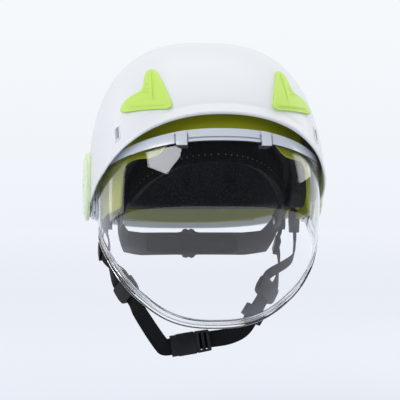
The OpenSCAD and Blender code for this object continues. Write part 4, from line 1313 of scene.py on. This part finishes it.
def buildStrap(name, width, route):
    path = flow([(*point[:3], heading(point)) for point in route], webbing["fine"])
    last = len(path) - 1
    half, thick = width / 2, webbing["wall"] / 2
    # Section of the tape, thinner at its selvedges
    ring = [(half - 0.5, thick)] + [(half * (1 - i / 5), thick) for i in range(1, 10)]
    ring += [(-half + 0.5, thick), (-half + 0.12, thick * 0.6), (-half, 0), (-half + 0.12, -thick * 0.6)]
    ring += [(-x, -z) for x, z in ring[:11]]
    ring += [(half - 0.12, -thick * 0.6), (half, 0), (half - 0.12, thick * 0.6)]
    lengths = lengthsAlong([point[:3] for point in path])

    def placeOf(column, row):
        point = Vector(path[row][:3])
        along = (Vector(path[min(row + 1, last)][:3]) - Vector(path[max(row - 1, 0)][:3])).normalized()
        across = along.cross(faceOf(path[row][3])).normalized()
        out = across.cross(along).normalized()
        x, z = ring[column % len(ring)]
        return point + across * x + out * z

    def clothOf(column, row):
        return (ring[column % len(ring)][0], lengths[row])

    return smooth(closeEnds(shapedGrid(name, len(ring), last, placeOf, clothOf)), 50)


for node, (width, route) in straps.items():
    body = frame["nodes"][node]["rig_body"]
    dress(buildStrap(node + "_tape", width, route), body, wovenWebbing, "webbing", node)
print("webbing ready")


# Small parts: merged and bevelled copies of the CAD nodes

def sides(*names):
    return [name + side for name in names for side in ("_left", "_right")]


# Width of the bevel: (material, slot, nodes)
smallParts = {
    0.12: [(blackPlastic, "plastic_black", sides("size_belt")), (brushedSteel, "steel", ["ratchet_pinion"])],
    0.2: [(blackPlastic, "plastic_black", ["pivot_washers"]),
          (frameGrey, "frame_grey", sides("detent_ring"))],
    0.3: [(brushedSteel, "steel", ["spacer_screws", "pivot_screws", "cradle_pivots", "case_screws"]
           + sides("pivot_pin")), (slotWhite, "shell_white", sides("accessory_slot"))],
    0.4: [(frameGrey, "frame_grey", sides("visor_hub")), (brushedSteel, "steel", ["anchor_rivets"]),
          (blackPlastic, "plastic_black", ["headband", "chin_slider"] + sides("strap_slider"))],
    0.5: [(frameGrey, "frame_grey", sides("visor_clip")), (greyPlastic, "plastic_black", ["rear_cradle"]),
          (blackPlastic, "plastic_black", ["buckle_socket", "buckle_plug"])],
    0.6: [(beadFoam, "foam_black", ["shell_spacer"]), (greyPlastic, "plastic_black", ["ratchet_case"]),
          (blackPlastic, "plastic_black", ["band_hangers", "ratchet_knob"]
           + sides("front_anchor", "rear_anchor"))],
    0.7: [(blackPlastic, "plastic_black", sides("side_adjuster"))],
}


def finishPart(node, width, material, slot):
    source = frame["nodes"][node]
    piece = copyPiece(source, node + "_finished")
    tidyMesh(piece, 0.01)
    openMesh(piece)
    bpy.ops.mesh.dissolve_limited(angle_limit=math.radians(0.4))
    objectMode()
    if node in sides("visor_clip"):
        combine(piece, underArch("clipTop", visor["frameTop"]), "INTERSECT")
    roundEdges(piece, width, 2, 35, clamp=True)
    smooth(piece, 35)
    dress(piece, source["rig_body"], material, slot, node)


for width, groups in smallParts.items():
    for material, slot, nodes in groups:
        for node in nodes:
            finishPart(node, width, material, slot)
print("small parts ready")


# Studio: a pale floor, a five-cornered soft light in front, and the camera

studio = {
    "floorDrop": 240, "distance": 1400, "azimuth": -8, "elevation": -1, "lens": 126, "aside": -3,
    "softLight": [(-1373, -306, 731), (-1389, -500, 497), (-1121, -976, 418), (-788, -1171, 739),
                  (-662, -1105, 1008)],
    "softStrength": 6, "roomRadius": 2400, "roomFrom": -128, "roomTo": 116,
    "nearFloorShade": (0.670, 0.700, 0.766), "farFloor": (0.838, 0.862, 0.919),
    "horizon": (0.863, 0.888, 0.947), "sky": (0.913, 0.947, 0.973),
    "skyTop": 0.14, "ambient": 0.58, "floorGlow": 1.35, "glowShare": 0.6,
    # The floor's colour, with painted shade: darker near the helmet, paler by 1 - near / (distance in metres
    # + start)
    "paleNear": 1.68, "paleStart": 1.4,
    "roomFoot": -230, "roomHeight": 3200, "roomGlow": (0.05, 0.053, 0.06), "softGlow": (0.93, 0.96, 1),
}
backdropRays = ("Is Camera Ray", "Is Glossy Ray", "Is Transmission Ray")
# Lamps: (name, place, size, power), in metres and watts
frontLamps = [("softKey", (-0.9, -1.0, 0.8), (1.2, 0.9), 8), ("rightFill", (1.7, -0.7, 0.5), (1.2, 1.6), 4)]
otherLamps = [("topFill", (0.1, 0.2, 2.0), (1.6, 1.6), 7), ("leftEdge", (-1.6, 0.9, 0.5), (1.0, 1.4), 4.5),
              ("rightEdge", (1.7, 0.5, 0.9), (1.0, 1.4), 9)]


def floorMaterial():
    # Painted shade: darker near the helmet and paler with distance. Part of it glows and the rest is lit, so
    # that the shadow shows
    material, tree, shader = freshMaterial("studioFloor")
    x, y, _ = splitVector(tree, objectCoordinates(tree))
    away = mathNode(tree, "ADD", farness(tree, x, y), studio["paleStart"])
    near = mathNode(tree, "DIVIDE", studio["paleNear"], away)
    share = mathNode(tree, "SUBTRACT", 1.0, near)
    share = remap(tree, share, 0, 1, 0, 1)
    # Painted shade: nearer the helmet the floor takes the darker colour
    colour = blendColours(tree, share, studio["nearFloorShade"], studio["farFloor"])
    feed(tree, shader, {"Base Color": colour, "Roughness": 1.0, "Specular IOR Level": 0.0})
    glow = addNode(tree, "Emission", {"Color": colour, "Strength": studio["floorGlow"]})
    lit = mathNode(tree, "MULTIPLY", raysOf(tree, *backdropRays), studio["glowShare"])
    mixShaders(tree, lit, shader.outputs["BSDF"], glow.outputs["Emission"])
    return material


pick()
bpy.ops.mesh.primitive_plane_add(size=160)
floor = bpy.context.object
floor.name = "studioFloor"
openMesh(floor)
bpy.ops.transform.translate(value=(0, 0, -studio["floorDrop"] * mm))
objectMode()
floor.data.materials.append(floorMaterial())


def glowMaterial(name, colour, strength):
    material, tree, _ = freshMaterial(name)
    glow = addNode(tree, "Emission", {"Color": (*colour, 1), "Strength": strength})
    # Seen by light that a gloss has turned back, also from inside the lens, and by nothing else
    through = addNode(tree, "BsdfTransparent", {})
    turned = mathNode(tree, "GREATER_THAN", raysOf(tree, "Glossy Depth"), 0.5)
    mixShaders(tree, turned, through.outputs["BSDF"], glow.outputs["Emission"])
    return material


def buildSoftLight():
    # A five-cornered soft box, as the visor mirrors it
    corners = studio["softLight"]
    piece = drawLine("softLight", corners + corners[:1])
    bpy.ops.mesh.select_all(action="SELECT")
    bpy.ops.mesh.remove_doubles(threshold=0.00001)
    bpy.ops.mesh.edge_face_add()
    objectMode()
    piece.data.materials.append(glowMaterial("softLightGlow", studio["softGlow"], studio["softStrength"]))
    showInGlossOnly(piece)


def buildDarkRoom():
    # The unlit room round the camera, as the visor mirrors it
    turns = [math.radians(mix(studio["roomFrom"], studio["roomTo"], i / 48)) for i in range(49)]
    radius = studio["roomRadius"]
    foot = studio["roomFoot"]
    wall = [(radius * math.sin(turn), -radius * math.cos(turn), foot) for turn in turns]
    piece = drawLine("darkRoom", wall)
    bpy.ops.mesh.select_all(action="SELECT")
    bpy.ops.mesh.extrude_region_move(TRANSFORM_OT_translate={"value": (0, 0, studio["roomHeight"] * mm)})
    objectMode()
    piece.data.materials.append(glowMaterial("darkRoomGlow", studio["roomGlow"], 1))
    showInGlossOnly(piece)


def showInGlossOnly(piece):
    piece.visible_camera = False
    piece.visible_diffuse = False
    piece.visible_shadow = False


buildSoftLight()
buildDarkRoom()


def areaLight(name, place, size, power):
    light = bpy.data.lights.new(name, "AREA")
    light.shape = "RECTANGLE"
    light.size, light.size_y = size
    light.energy = power
    lamp = bpy.data.objects.new(name, light)
    bpy.context.scene.collection.objects.link(lamp)
    lamp.location = place
    lamp.rotation_euler = Vector(place).to_track_quat("Z", "Y").to_euler()
    lamp.visible_camera = False
    return lamp


for numbers in frontLamps:
    # These two show no reflection of their own: the soft light above stands for it
    lamp = areaLight(*numbers)
    lamp.visible_glossy = False
    lamp.visible_transmission = False
for numbers in otherLamps:
    areaLight(*numbers)


def studioWorld():
    world = bpy.data.worlds.new("studioAir")
    bpy.context.scene.world = world
    world.use_nodes = True
    tree = world.node_tree
    tree.nodes.clear()
    addNode(tree, "OutputWorld", {})
    rise = splitVector(tree, addNode(tree, "TexCoord", {}).outputs["Generated"])["Z"]
    upper = remap(tree, rise, 0, studio["skyTop"], 0, 1)
    backdrop = blendColours(tree, upper, studio["horizon"], studio["sky"])
    seen = addNode(tree, "Background", {"Color": backdrop})
    ambient = addNode(tree, "Background", {"Color": (0.97, 0.985, 1.0, 1), "Strength": studio["ambient"]})
    mixShaders(tree, raysOf(tree, *backdropRays), ambient.outputs["Background"], seen.outputs["Background"],
               "OUTPUT_WORLD")


studioWorld()


def placeCamera():
    turn, rise = math.radians(studio["azimuth"]), math.radians(studio["elevation"])
    back = Vector((math.sin(turn) * math.cos(rise), -math.cos(turn) * math.cos(rise), math.sin(rise)))
    right = Vector((math.cos(turn), math.sin(turn), 0))
    camera = bpy.data.objects.new("camera", bpy.data.cameras.new("camera"))
    bpy.context.scene.collection.objects.link(camera)
    camera.data.lens = studio["lens"]
    camera.data.sensor_width = 36
    camera.data.clip_end = 400
    camera.location = (back * studio["distance"] + right * studio["aside"]) * mm
    camera.rotation_euler = back.to_track_quat("Z", "Y").to_euler()
    bpy.context.scene.camera = camera


placeCamera()
bpy.context.scene.view_settings.view_transform = "Standard"
print("studio ready")
